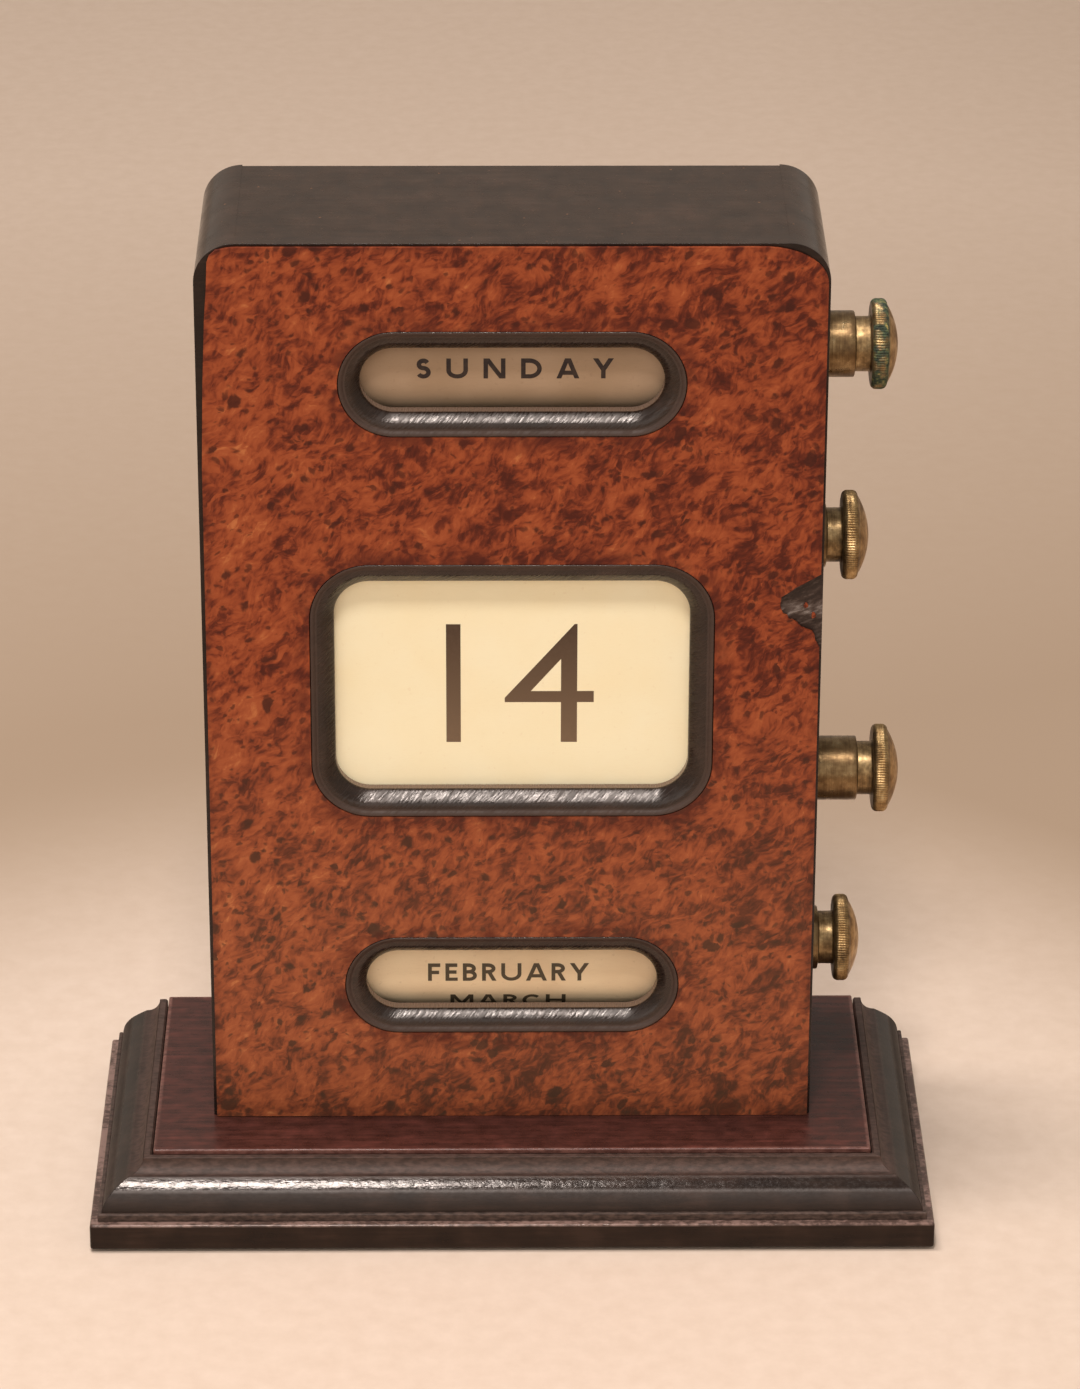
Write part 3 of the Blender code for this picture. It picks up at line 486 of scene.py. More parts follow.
def brass_material(name, verdigris=False):
    """Tarnished turned brass, darker in its recesses and, where asked, green on the head's rim."""
    look = Look(name)
    cloud = look.clouds((1.6, 2.2, 2.2), 4, 0.6)
    turned = look.clouds((0.10, 9, 9), 2, 0.5, shift=(2, 0, 0))
    tone = look.plus(look.times(cloud, 0.7), look.times(turned, 0.3))
    colour = look.ramp(
        tone, (0.34, 106, 82, 54), (0.46, 154, 122, 80), (0.58, 196, 162, 112), (0.72, 220, 190, 142),
    )
    recess = look.mark("recess")
    grime = look.between(look.clouds((0.7, 0.7, 0.7), 3, shift=(5, 5, 5)), 0.3, 0.6, 0.45, 1.0)
    colour = look.mix(look.times(recess, grime), colour, rgb(58, 46, 32))
    journal = look.mark("journal")
    colour = look.mix(look.times(journal, 0.55), colour, rgb(84, 62, 42))
    roughness = look.between(cloud, 0.3, 0.7, 0.50, 0.32)
    roughness = look.minus(roughness, look.times(journal, 0.08))
    metallic = look.minus(1.0, look.times(recess, 0.35))
    if verdigris:
        rim = look.mark("rim")
        patch = look.between(look.clouds((2.6, 2.6, 2.6), 3, 0.6, shift=(3, 9, 1)), 0.32, 0.50)
        crust = look.clouds((0.9, 0.9, 0.9), 3, 0.6, shift=(8, 1, 4))
        amount = look.times(rim, patch)
        green = look.ramp(
            crust, (0.36, 30, 38, 27), (0.50, 54, 66, 46), (0.60, 92, 100, 64), (0.70, 160, 138, 78),
        )
        colour = look.mix(amount, colour, green)
        roughness = look.most(roughness, look.times(amount, 0.75))
        metallic = look.minus(metallic, look.times(amount, 0.8), clamp=True)
    rings = look.bump(turned, 0.012)
    pits = look.bump(look.clouds((0.35, 0.35, 0.35), 3, 0.6), 0.02, rings)
    return look.finish(colour, roughness, pits, metallic)


def board_material():
    """The front board's black polish, and the old glue and torn fibres where the veneer is lost."""
    look = Look("front_board")
    lost_depth, lost_low, lost_high, deepest = 8.5, 99.5, 115.0, 106.9
    colour, roughness, normal = coat(look, (0, 20, 35), dust=True)
    _, high = box_mm("burr_veneer")
    across, height = look.parts(look.place, 0), look.parts(look.place, 2)
    lost = look.maths("GREATER_THAN", across, high.x - lost_depth)
    lost = look.times(lost, look.maths("GREATER_THAN", height, lost_low))
    lost = look.times(lost, look.maths("LESS_THAN", height, lost_high))
    streak = look.clouds((1.9, 1.9, 0.6), 3, 0.6, turn=(0, -24, 0), shift=(2, 0, 2))
    middle = look.maths("ABSOLUTE", look.minus(height, deepest))
    lighter = look.between(middle, 0.3, 2.2, 0.20, 0.0, True)
    bare = look.ramp(
        look.plus(streak, lighter), (0.44, 42, 29, 23), (0.56, 58, 43, 36), (0.70, 88, 74, 67),
        (0.84, 132, 120, 113),
    )
    colour = look.mix(lost, colour, bare)
    roughness = look.plus(roughness, look.times(lost, 0.2))
    normal = look.bump(look.times(streak, lost), 0.04, normal)
    return look.finish(colour, roughness, normal, specular=0.32)


# Meshes


def bow(centre, across, up, start, end, steps=14):
    """Part of an ellipse, with its angles in degrees."""
    points = []
    for step in range(steps + 1):
        angle = math.radians(start + (end - start) * step / steps)
        points.append((centre[0] + across * math.cos(angle), centre[1] + up * math.sin(angle)))
    return points


def arc(centre, radius, start, end, steps):
    return bow(centre, radius, radius, start, end, steps)


def distinct(points, limit=0.002):
    """The points of a closed outline, without those that fall together."""
    kept = []
    for point in points:
        if not kept or math.dist(point, kept[-1]) > limit:
            kept.append(point)
    if math.dist(kept[0], kept[-1]) <= limit:
        kept.pop()
    return kept


def rounded(half_width, half_height, radius, steps, centre, inward=0.0):
    """A rectangle with round corners, anticlockwise, or a line that runs inward of it all round."""
    points = []
    for x, z, start in ((1, 1, 0), (-1, 1, 90), (-1, -1, 180), (1, -1, 270)):
        corner = (centre[0] + x * (half_width - radius), centre[1] + z * (half_height - radius))
        points += arc(corner, radius - inward, start, start + 90, steps)
    return points


def everything(bm):
    return bm.verts[:] + bm.edges[:] + bm.faces[:]


def bridge(bm, rings, closed=True):
    """Faces from each ring of points to the next and, where closed, from the last to the first."""
    for ring, after in zip(rings, rings[1:] + rings[:1] if closed else rings[1:]):
        for place in range(len(ring)):
            following = (place + 1) % len(ring)
            bm.faces.new((ring[place], ring[following], after[following], after[place]))


def push(bm, faces, step):
    """Extrudes the faces and moves the new ones by the step."""
    grown = bmesh.ops.extrude_face_region(bm, geom=faces)["geom"]
    moved = [item for item in grown if isinstance(item, bmesh.types.BMVert)]
    bmesh.ops.translate(bm, vec=step, verts=moved)


def soften(bm, width, segments=3, keep=None):
    """Rounds the edges sharper than forty degrees."""
    sharp = [
        edge
        for edge in bm.edges
        if len(edge.link_faces) == 2
        and edge.calc_face_angle(0.0) > math.radians(40)
        and (keep is None or keep(edge))
    ]
    style = {"segments": segments, "profile": 0.5, "affect": "EDGES", "clamp_overlap": True}
    bmesh.ops.bevel(bm, geom=sharp, offset=width, **style)


def frame_faces(bm):
    """Sets off two borders round each large face, so that the wear and painted highlight along the edges stay
    along them.
    """
    large = [face for face in bm.faces if face.calc_area() > 100]
    for _ in range(2):
        bmesh.ops.inset_individual(bm, faces=large, thickness=EDGE_BORDER, use_even_offset=True)


def prism(outline, low, high, axis="Y", holes=()):
    """A flat outline, with holes where asked, pushed along Y or X."""
    bm = bmesh.new()
    edges = []
    for loop in (outline, *holes):
        if axis == "Y":
            corners = [bm.verts.new((x, low, z)) for x, z in loop]
        else:
            corners = [bm.verts.new((low, y, z)) for y, z in loop]
        edges += [bm.edges.new((corners[i - 1], corners[i])) for i in range(len(corners))]
    if holes:
        faces = bmesh.ops.triangle_fill(bm, use_beauty=True, edges=edges)["geom"]
        faces = [item for item in faces if isinstance(item, bmesh.types.BMFace)]
    else:
        faces = [bm.faces.new(corners)]
    push(bm, faces, (0.0, high - low, 0.0) if axis == "Y" else (high - low, 0.0, 0.0))
    bmesh.ops.recalc_face_normals(bm, faces=bm.faces[:])
    return bm


def box(low, high):
    return prism([(low.x, low.z), (high.x, low.z), (high.x, high.z), (low.x, high.z)], low.y, high.y)


def turned(profile, steps, shape=None):
    """A closed turned body about X. The profile lists (distance along, radius), with zero radius at
    both ends. The shape function may change a point's radius by its angle."""
    bm = bmesh.new()
    rings = []
    for place, (along, radius) in enumerate(profile):
        if radius == 0.0:
            rings.append([bm.verts.new((along, 0.0, 0.0))])
            continue
        ring = []
        for step in range(steps):
            angle = math.tau * step / steps
            length = shape(place, radius, angle) if shape else radius
            ring.append(bm.verts.new((along, length * math.cos(angle), length * math.sin(angle))))
        rings.append(ring)
    for first, second in zip(rings[:-1], rings[1:]):
        for step in range(steps):
            after = (step + 1) % steps
            if len(first) == 1:
                bm.faces.new((first[0], second[step], second[after]))
            elif len(second) == 1:
                bm.faces.new((first[step], second[0], first[after]))
            else:
                bm.faces.new((first[step], second[step], second[after], first[after]))
    return bm


def mesh_of(bm, name):
    mesh = bpy.data.meshes.new(name)
    bm.to_mesh(mesh)
    bm.free()
    return mesh


def add_object(name, data):
    thing = bpy.data.objects.new(name, data)
    bpy.context.scene.collection.objects.link(thing)
    return thing


def make_piece(name, bm, material, body, replaces=(), angle=35, even=True):
    """Turns a mesh in millimetres into a piece of the calendar."""
    bmesh.ops.recalc_face_normals(bm, faces=bm.faces[:])
    bmesh.ops.scale(bm, vec=(MM, MM, MM), verts=bm.verts[:])
    mesh = mesh_of(bm, name)
    mesh.materials.append(material)
    mesh.shade_smooth()
    mesh.set_sharp_from_angle(angle=math.radians(angle))
    thing = add_object(name, mesh)
    if even:
        weighted = thing.modifiers.new("even shading", "WEIGHTED_NORMAL")
        weighted.keep_sharp = True
    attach(thing, body)
    if replaces:
        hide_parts(*replaces)
    return thing


def carve(bm, cutters):
    """Cuts the other meshes out of this one, and gives back the result."""
    scratch = []
    for number, source in enumerate((bm, *cutters)):
        bmesh.ops.recalc_face_normals(source, faces=source.faces[:])
        mesh = mesh_of(source, f"scratch_{number}")
        scratch.append(add_object(mesh.name, mesh))
    for cutter in scratch[1:]:
        boolean = scratch[0].modifiers.new("cut", "BOOLEAN")
        boolean.operation = "DIFFERENCE"
        boolean.solver = "EXACT"
        boolean.object = cutter
    bpy.context.view_layer.update()
    shaped = scratch[0].evaluated_get(bpy.context.evaluated_depsgraph_get())
    result = bmesh.new()
    result.from_mesh(shaped.to_mesh())
    shaped.to_mesh_clear()
    for thing in scratch:
        mesh = thing.data
        bpy.data.objects.remove(thing)
        bpy.data.meshes.remove(mesh)
    return result


# Plinth and case


def moulding_profile():
    """(distance in from the plinth's outer edge, height above the moulding's foot). The ovolo is
    worn a little flat where it faces up and forward."""
    foot = MOULDING_FILLET_HEIGHT
    start = MOULDING_LEDGE
    top = (start + MOULDING_QUIRK + MOULDING_OVOLO, foot + MOULDING_OVOLO)
    cove = (top[0], top[1] + MOULDING_COVE)
    width = top[0] + MOULDING_COVE + MOULDING_BORDER
    points = [(start, 0.0), (start, foot - 0.25)]
    points += arc((start + 0.25, foot - 0.25), 0.25, 180, 90, 4)
    points += [(start + MOULDING_QUIRK - 0.12, foot), (start + MOULDING_QUIRK, foot - 0.12)]
    ovolo = [top]
    turn = 90.0
    worn_arcs = ((0.5, 114.0, 6), (18.0, 121.5, 8), (5.026, 145.0, 8), (3.451, 178.0, 12))
    for radius, after, steps in worn_arcs:
        foremost = ovolo[-1]
        start_angle = math.radians(turn)
        centre = (foremost[0] - radius * math.cos(start_angle), foremost[1] - radius * math.sin(start_angle))
        ovolo += arc(centre, radius, turn, after, steps)[1:]
        turn = after
    points += reversed(ovolo)
    points += arc(cove, MOULDING_COVE, -88, 0, 12)
    points += arc((cove[0] + MOULDING_COVE + 0.2, cove[1] - 0.2), 0.2, 180, 90, 4)[1:]
    points += [(width - 0.3, cove[1]), (width, cove[1] - 0.35), (width, 0.0)]
    return distinct(points)


def add_moulding(name, material, place_start, place_end, cuts):
    bm = bmesh.new()
    profile = moulding_profile()
    rings = []
    for cut in range(cuts + 1):
        share = cut / cuts
        ring = []
        for inward, height in profile:
            start = Vector(place_start(inward, height))
            end = Vector(place_end(inward, height))
            ring.append(bm.verts.new(start.lerp(end, share)))
        rings.append(ring)
    bm.faces.new(rings[0])
    bm.faces.new(reversed(rings[-1]))
    bridge(bm, rings, closed=False)
    make_piece(f"{name}_profile", bm, material, "case", (name,), 30, even=False)


def add_plinth():
    low, high = box_mm("base_board")
    half_width, half_depth = high.x, high.y
    foot = box_mm("base_front_moulding")[0].z
    rubbed = {"stroke_size": (0.9, 0.6, 0.6), "stroke_depth": 0.022, "sheen": (0.11, 0.14), "scuffed": 0.05}
    fillet = foot + MOULDING_FILLET_HEIGHT
    shelf = fillet + MOULDING_OVOLO
    polished_band = 1.4
    levels = (fillet, shelf - polished_band, shelf)
    along_x = ebonised_material("ebonised_plinth_front", 0.42, strokes=(0, 0, 0), moulded=levels, **rubbed)
    along_y = ebonised_material("ebonised_plinth_side", 0.42, strokes=(0, 0, 90), moulded=levels, **rubbed)
    # The base's top edge is lighter in chips: wear and a painted highlight.
    worn = ebonised_material("ebonised_base", 0.25, strokes=(0, 0, 0), worn_above=high.z, **rubbed)

    def end(side, gap=0.0, back=False):
        """Where a moulding's profile ends: at a front corner's mitre, or square at the back."""

        def place(inward, height):
            depth = half_depth if back else inward - half_depth
            return (side * (half_width - inward - gap), depth, foot + height)

        return place

    add_moulding("base_front_moulding", along_x, end(-1, MITRE_GAP), end(1, MITRE_GAP), 40)
    add_moulding("base_left_moulding", along_y, end(-1), end(-1, back=True), 20)
    add_moulding("base_right_moulding", along_y, end(1), end(1, back=True), 20)
    board = box(low, high)
    soften(board, 0.45, 4)
    frame_faces(board)
    make_piece("base_board_eased", board, worn, "case", ("base_board",))
    low, high = box_mm("plinth_top_panel")
    gap = Vector((0.12, 0.12, 0.0))
    panel = box(low + gap, high - gap)
    soften(panel, 0.28, 3)
    frame_faces(panel)
    mahogany = mahogany_material()
    make_piece("plinth_top_panel_eased", panel, mahogany, "case", ("plinth_top_panel",))


def add_case_sides(material):
    for side, node in ((-1, "case_left_side"), (1, "case_right_side")):
        low, high = box_mm(node)
        inner = high.x if side < 0 else low.x
        outer = low.x if side < 0 else high.x
        radius = SIDE_THICKNESS
        centre = (outer - side * radius, high.z - radius)
        outline = [(inner, low.z), (outer, low.z)]
        outline += [(side * x, z) for x, z in arc((side * centre[0], centre[1]), radius, 0, 90, 18)]
        bm = prism(distinct(outline), low.y, high.y)
        back = high.y - 0.01
        past = side * inner + 0.01
        soften(bm, 0.35, 3, lambda e: all(v.co.y > back and side * v.co.x > past for v in e.verts))
        if side > 0:
            cutters = []
            for knob in KNOBS:
                profile = [(inner - 1.0, 0.0), (inner - 1.0, BORE_RADIUS), (outer - 0.35, BORE_RADIUS)]
                profile += [(outer + 0.15, BORE_RADIUS + 0.5), (outer + 0.15, 0.0)]
                cutter = turned(profile, 64)
                bmesh.ops.translate(cutter, vec=(0.0, AXIS_Y, axis_height(knob)), verts=cutter.verts[:])
                cutters.append(cutter)
            bm = carve(bm, cutters)
        make_piece(f"{node}_rounded", bm, material, "case", (node,))


def add_case_top(material):
    low, high = box_mm("case_top")
    back_low, back_high = box_mm("back_panel")
    inside = back_low.y - 0.1
    rebate = back_high.z + 0.1
    top = high.z - 0.12
    outline = [(low.y, low.z), (inside, low.z), (inside, rebate)]
    outline += [(high.y - 0.1, rebate), (high.y - 0.1, top), (low.y, top)]
    bm = prism(outline, box_mm("case_left_side")[1].x, box_mm("case_right_side")[0].x, "X")
    back = high.y - 0.11
    soften(bm, 0.3, 3, lambda edge: min(v.co.y for v in edge.verts) > back)
    make_piece("case_top_eased", bm, material, "case", ("case_top",))


def window_outlines():
    """The openings for the window frames, a little larger than the frames all round."""
    gap = 0.1
    outlines = []
    for _, _, half, middle, radius in windows():
        outline = rounded(half.x + gap, half.z + gap, radius + gap, 14, (middle.x, middle.z))
        outlines.append(distinct(outline))
    return outlines


def jagged(start, end, count, depth, source):
    """Points along a torn edge from start to end, without its two ends."""
    line = Vector(end) - Vector(start)
    across = Vector((-line.y, line.x)).normalized()
    points = []
    for step in range(1, count):
        point = Vector(start) + line * (step / count + source.uniform(-0.3, 0.3) / count)
        point += across * source.uniform(-depth, depth)
        points.append((point.x, point.y))
    return points


def add_front_board():
    low, high = box_mm("front_board")
    radius = SIDE_THICKNESS
    outline = [(low.x, low.z), (high.x, low.z)]
    outline += arc((high.x - radius, high.z - radius), radius, 0, 90, 18)
    outline += arc((low.x + radius, high.z - radius), radius, 90, 180, 18)
    bm = prism(distinct(outline), low.y, high.y, holes=window_outlines())
    front = low.y
    soften(bm, 0.3, 3, lambda e: all(abs(v.co.y - front) < 0.01 for v in e.verts))
    make_piece("front_board_eased", bm, board_material(), "case", ("front_board",))


def add_veneer():
    source = random.Random(14)
    quarter = [math.radians(90 * step / 16) for step in range(17)]
    corner_across, corner_down = 10.4, 6.1
    low, high = box_mm("burr_veneer")
    # How far in and how high each stretch of the torn edge starts, its points and their roughness
    torn = (
        (0.0, 100.4, 4, 0.16),
        (1.2, 103.2, 4, 0.30),
        (3.4, 104.3, 5, 0.34),
        (5.9, 106.2, 3, 0.10),
        (6.5, 107.9, 3, 0.06),
        (6.3, 109.3, 4, 0.08),
        (3.4, 111.3, 5, 0.08),
    )
    chip_top = (high.x, 113.3)
    outline = [(low.x + 0.1, low.z), (high.x, low.z)]
    for place, (inward, level, count, depth) in enumerate(torn):
        after = torn[place + 1] if place + 1 < len(torn) else None
        end = (high.x - after[0], after[1]) if after else chip_top
        outline += [(high.x - inward, level)]
        outline += jagged((high.x - inward, level), end, count, depth, source)
    outline += [chip_top]
    for angle in quarter:
        across = corner_across * (1 - math.cos(angle))
        outline += [(high.x - across, high.z - corner_down * (1 - math.sin(angle)))]
    # The left edge's smaller corner, then its lean: how far in, how far down, and how high
    left_corner = ((5.6, 0.0), (3.2, 0.45), (2.2, 1.4), (1.8, 2.5))
    left_lean = ((1.6, 162.3), (1.2, 157.3), (0.7, 146.0), (0.3, 132.0))
    outline += [(low.x + inward, high.z - drop) for inward, drop in left_corner]
    outline += [(low.x + inward, level) for inward, level in left_lean]
    bm = prism(distinct(outline), low.y, high.y, holes=window_outlines())
    front = low.y
    soften(bm, 0.14, 2, lambda e: all(abs(v.co.y - front) < 0.01 for v in e.verts))
    veneer = burr_material()
    make_piece("burr_veneer_sheet", bm, veneer, "case", ("burr_veneer",))
    # Two flakes left in the torn place, each with where it is, its size and its turn
    flakes = ((47.3, 107.7, 0.42, 35), (48.55, 106.0, 0.5, 80))
    for number, (x, z, size, turn) in enumerate(flakes):
        points = []
        for step in range(7):
            angle = math.radians(turn + step * 360 / 7)
            reach = size * source.uniform(0.6, 1.1)
            points.append((x + reach * math.cos(angle), z + 1.6 * reach * math.sin(angle)))
        flake = prism(points, high.y - 0.35, high.y)
        soften(flake, 0.06, 1)
        make_piece(f"veneer_flake_{number + 1}", flake, veneer, "case")


def bezel_profile(width, slope):
    """(distance in from the outer edge, depth): a sloping rim, a flat, a wide chamfer and a lip."""
    points = [(0.0, BEZEL_DEPTH), (0.0, 0.12), (0.05, 0.03), (0.14, 0.0)]
    points += [(0.30, 0.03), (0.48, 0.10), (0.64, 0.21), (0.74, 0.32), (0.80, 0.40)]
    points += [(0.92, 0.44), (1.20, 0.46), (1.50, 0.49)]
    points += arc((1.413, 1.693), 1.2, -84, -52, 6)
    foot = points[-1]
    end = (width - 0.12, foot[1] + (width - 0.12 - foot[0]) * slope)
    for step in range(1, 9):
        share = step / 8
        swell = 0.14 * share * (1 - share)
        across = foot[0] + (end[0] - foot[0]) * share + swell
        points.append((across, foot[1] + (end[1] - foot[1]) * share - swell))
    points += [(width - 0.05, end[1] + 0.11), (width - 0.01, end[1] + 0.25), (width, end[1] + 0.4)]
    points += [(width, BEZEL_DEPTH)]
    return points


def add_bezels():
    scratched = {"strokes": (0, -38, 0), "stroke_size": (2.6, 4.0, 0.26), "stroke_depth": 0.062}
    scratched |= {"sheen": (0.18, 0.24), "scuffed": 0.16, "bare": True}
    material = ebonised_material("ebonised_bezel", 0.56, **scratched)
    sections = ((3.45, 0.99), (3.85, 0.99), (3.45, 1.02))
    for (node, low, half, middle, radius), (width, slope) in zip(windows(), sections):
        bm = bmesh.new()
        bare = bm.verts.layers.float.new("bare")
        dull = bm.verts.layers.float.new("dull")
        rings = []
        for inward, depth in bezel_profile(width, slope):
            outline = rounded(half.x, half.z, radius, 20, (middle.x, middle.z), inward)
            rings.append([bm.verts.new((x, low.y + depth, z)) for x, z in outline])
            for vert in rings[-1]:
                # The inner wall is bare wood, its light tone partly painted light that fills the shade below
                # the paper; the rim's paler tone is a painted sheen.
                vert[bare] = 0.6 if inward == width else 0.0
                vert[dull] = 1.0 if 0.1 < inward < 1.0 else 0.0
        bridge(bm, rings)
        bmesh.ops.remove_doubles(bm, verts=bm.verts[:], dist=0.0005)
        make_piece(f"{node}_moulded", bm, material, "case", (node,), 60, even=False)


def into_back(node):
    """Turns what points along X into the back panel, at a screw's place."""
    low, high = box_mm(node)
    middle = (low + high) / 2
    return Matrix.Translation((middle.x, high.y, middle.z)) @ Matrix.Rotation(math.radians(-90), 4, "Z")


def screw(name, node, material):
    """A countersunk slotted screw, in the place of its CAD node."""
    low, high = box_mm(node)
    length = (high - low).y
    profile = [(0.0, 0.0), (0.0, 1.9), (0.06, 2.1), (0.16, SCREW_HEAD_RADIUS)]
    profile += [(SCREW_HEAD_DEPTH, SCREW_RADIUS), (length - 2.2, SCREW_RADIUS), (length, 0.0)]
    bm = turned(profile, 40)
    slot = box(Vector((-1.0, -3.0, -0.3)), Vector((0.6, 3.0, 0.3)))
    spin = Matrix.Rotation(math.radians(random.Random(node).uniform(-70, 70)), 4, "X")
    for mesh in (bm, slot):
        mesh.transform(into_back(node) @ spin)
    make_piece(name, carve(bm, [slot]), material, "case", (node,))


def add_back(material, brass):
    low, high = box_mm("back_panel")
    bm = box(low, high)
    soften(bm, 0.25, 3)
    cutters = []
    nodes = [f"back_screw_{row}_{side}" for row in ("lower", "upper") for side in ("left", "right")]
    hole_radius = SCREW_RADIUS + 0.12
    sink_radius = SCREW_HEAD_RADIUS + 0.15
    for node in nodes:
        profile = [(-1.0, 0.0), (-1.0, sink_radius), (0.0, sink_radius)]
        profile += [(SCREW_HEAD_DEPTH, hole_radius), (8.0, hole_radius), (8.0, 0.0)]
        cutter = turned(profile, 40)
        cutter.transform(into_back(node))
        cutters.append(cutter)
    make_piece("back_panel_eased", carve(bm, cutters), material, "case", ("back_panel",))
    for node in nodes:
        screw(f"{node}_slotted", node, brass)


# Knobs


def knob_profile():
    """A knob from its crown to its shank's end, as (distance along, radius, share of the knurl's
    depth), and the number of the point where the square shank starts."""
    edge = 0.85
    crown = HEAD_RIM + HEAD_DOME
    points = [(crown, 0.0, 0.0)]
    base = HEAD_RADIUS - edge
    sphere = (base**2 + HEAD_DOME**2) / (2 * HEAD_DOME)
    widest = math.asin(base / sphere)
    for step in range(1, 15):
        angle = widest * step / 14
        points.append((crown - sphere * (1 - math.cos(angle)), sphere * math.sin(angle), 0.0))
    quarter = [math.radians(90 * step / 4) for step in range(5)]
    for step in range(1, 5):
        angle = quarter[step]
        points.append((HEAD_RIM - edge + edge * math.cos(angle), base + edge * math.sin(angle), step / 4))
    for step in range(1, 6):
        points.append((HEAD_RIM - edge - (HEAD_RIM - 2 * edge) * step / 6, HEAD_RADIUS, 1.0))
    for step, angle in enumerate(quarter):
        points.append((edge - edge * math.sin(angle), base + edge * math.cos(angle), 1 - step / 4))
    fillet = 0.35
    plain = [(0.0, NECK_RADIUS + 1.2)]
    for angle in quarter:
        plain.append((-fillet + fillet * math.cos(angle), NECK_RADIUS + fillet - fillet * math.sin(angle)))
    plain += [(-NECK_LENGTH + 0.15, NECK_RADIUS), (-NECK_LENGTH, NECK_RADIUS + 0.12)]
    plain += [(-NECK_LENGTH, JOURNAL_RADIUS - 0.25), (-NECK_LENGTH - 0.08, JOURNAL_RADIUS - 0.06)]
    plain += [(-NECK_LENGTH - 0.25, JOURNAL_RADIUS)]
    journal_end = -NECK_LENGTH - JOURNAL_LENGTH
    plain += [(-NECK_LENGTH - JOURNAL_LENGTH * step / 12, JOURNAL_RADIUS) for step in range(1, 12)]
    plain += [(journal_end, JOURNAL_RADIUS)]
    square_from = len(points) + len(plain)
    shank_end = journal_end - SHANK_LENGTH
    plain += [(journal_end, SHANK_SIDE / 2), (shank_end, SHANK_SIDE / 2), (shank_end, 0.0)]
    points += [(along, radius, 0.0) for along, radius in plain]
    return points, square_from


def add_knob(name, material):
    """A domed and knurled head, a neck, a journal and a square shank, all turned from one bar."""
    low, high = box_mm(name)
    points, square_from = knob_profile()

    def shape(place, radius, angle):
        """Square on the shank, grooved by each point's share on the rim, round elsewhere."""
        if place >= square_from:
            return radius / max(abs(math.cos(angle)), abs(math.sin(angle)))
        groove = (0.5 - 0.5 * math.cos(KNURL_TEETH * angle)) ** 1.5
        return radius - KNURL_DEPTH * points[place][2] * groove

    bm = turned([(along, radius) for along, radius, _ in points], KNURL_TEETH * KNURL_STEPS, shape)
    head_back = high.x - HEAD_RIM - HEAD_DOME
    middle = (low + high) / 2
    recess = bm.verts.layers.float.new("recess")
    rim = bm.verts.layers.float.new("rim")
    journal = bm.verts.layers.float.new("journal")
    for vert in bm.verts:
        along, radius = vert.co.x, vert.co.yz.length
        if 0.0 < along < HEAD_RIM:
            depth = (HEAD_RADIUS - radius) / KNURL_DEPTH
            vert[recess] = 0.5 * min(1.0, max(0.0, depth))
            vert[rim] = 1.0
        elif along >= HEAD_RIM:
            vert[rim] = min(1.0, max(0.0, (radius - 6.0) / 0.9))
        elif along > -0.6:
            vert[recess] = 0.85 if along > -0.05 else 0.6
        elif -NECK_LENGTH - 0.05 < along < -NECK_LENGTH + 0.3:
            vert[recess] = 0.5
        elif along < -NECK_LENGTH:
            vert[recess] = 0.32
            vert[journal] = 1.0
    bmesh.ops.translate(bm, vec=(head_back, AXIS_Y, middle.z), verts=bm.verts[:])
    make_piece(f"{name}_turned", bm, material, name, (name,), 32, even=False)


# Lettering


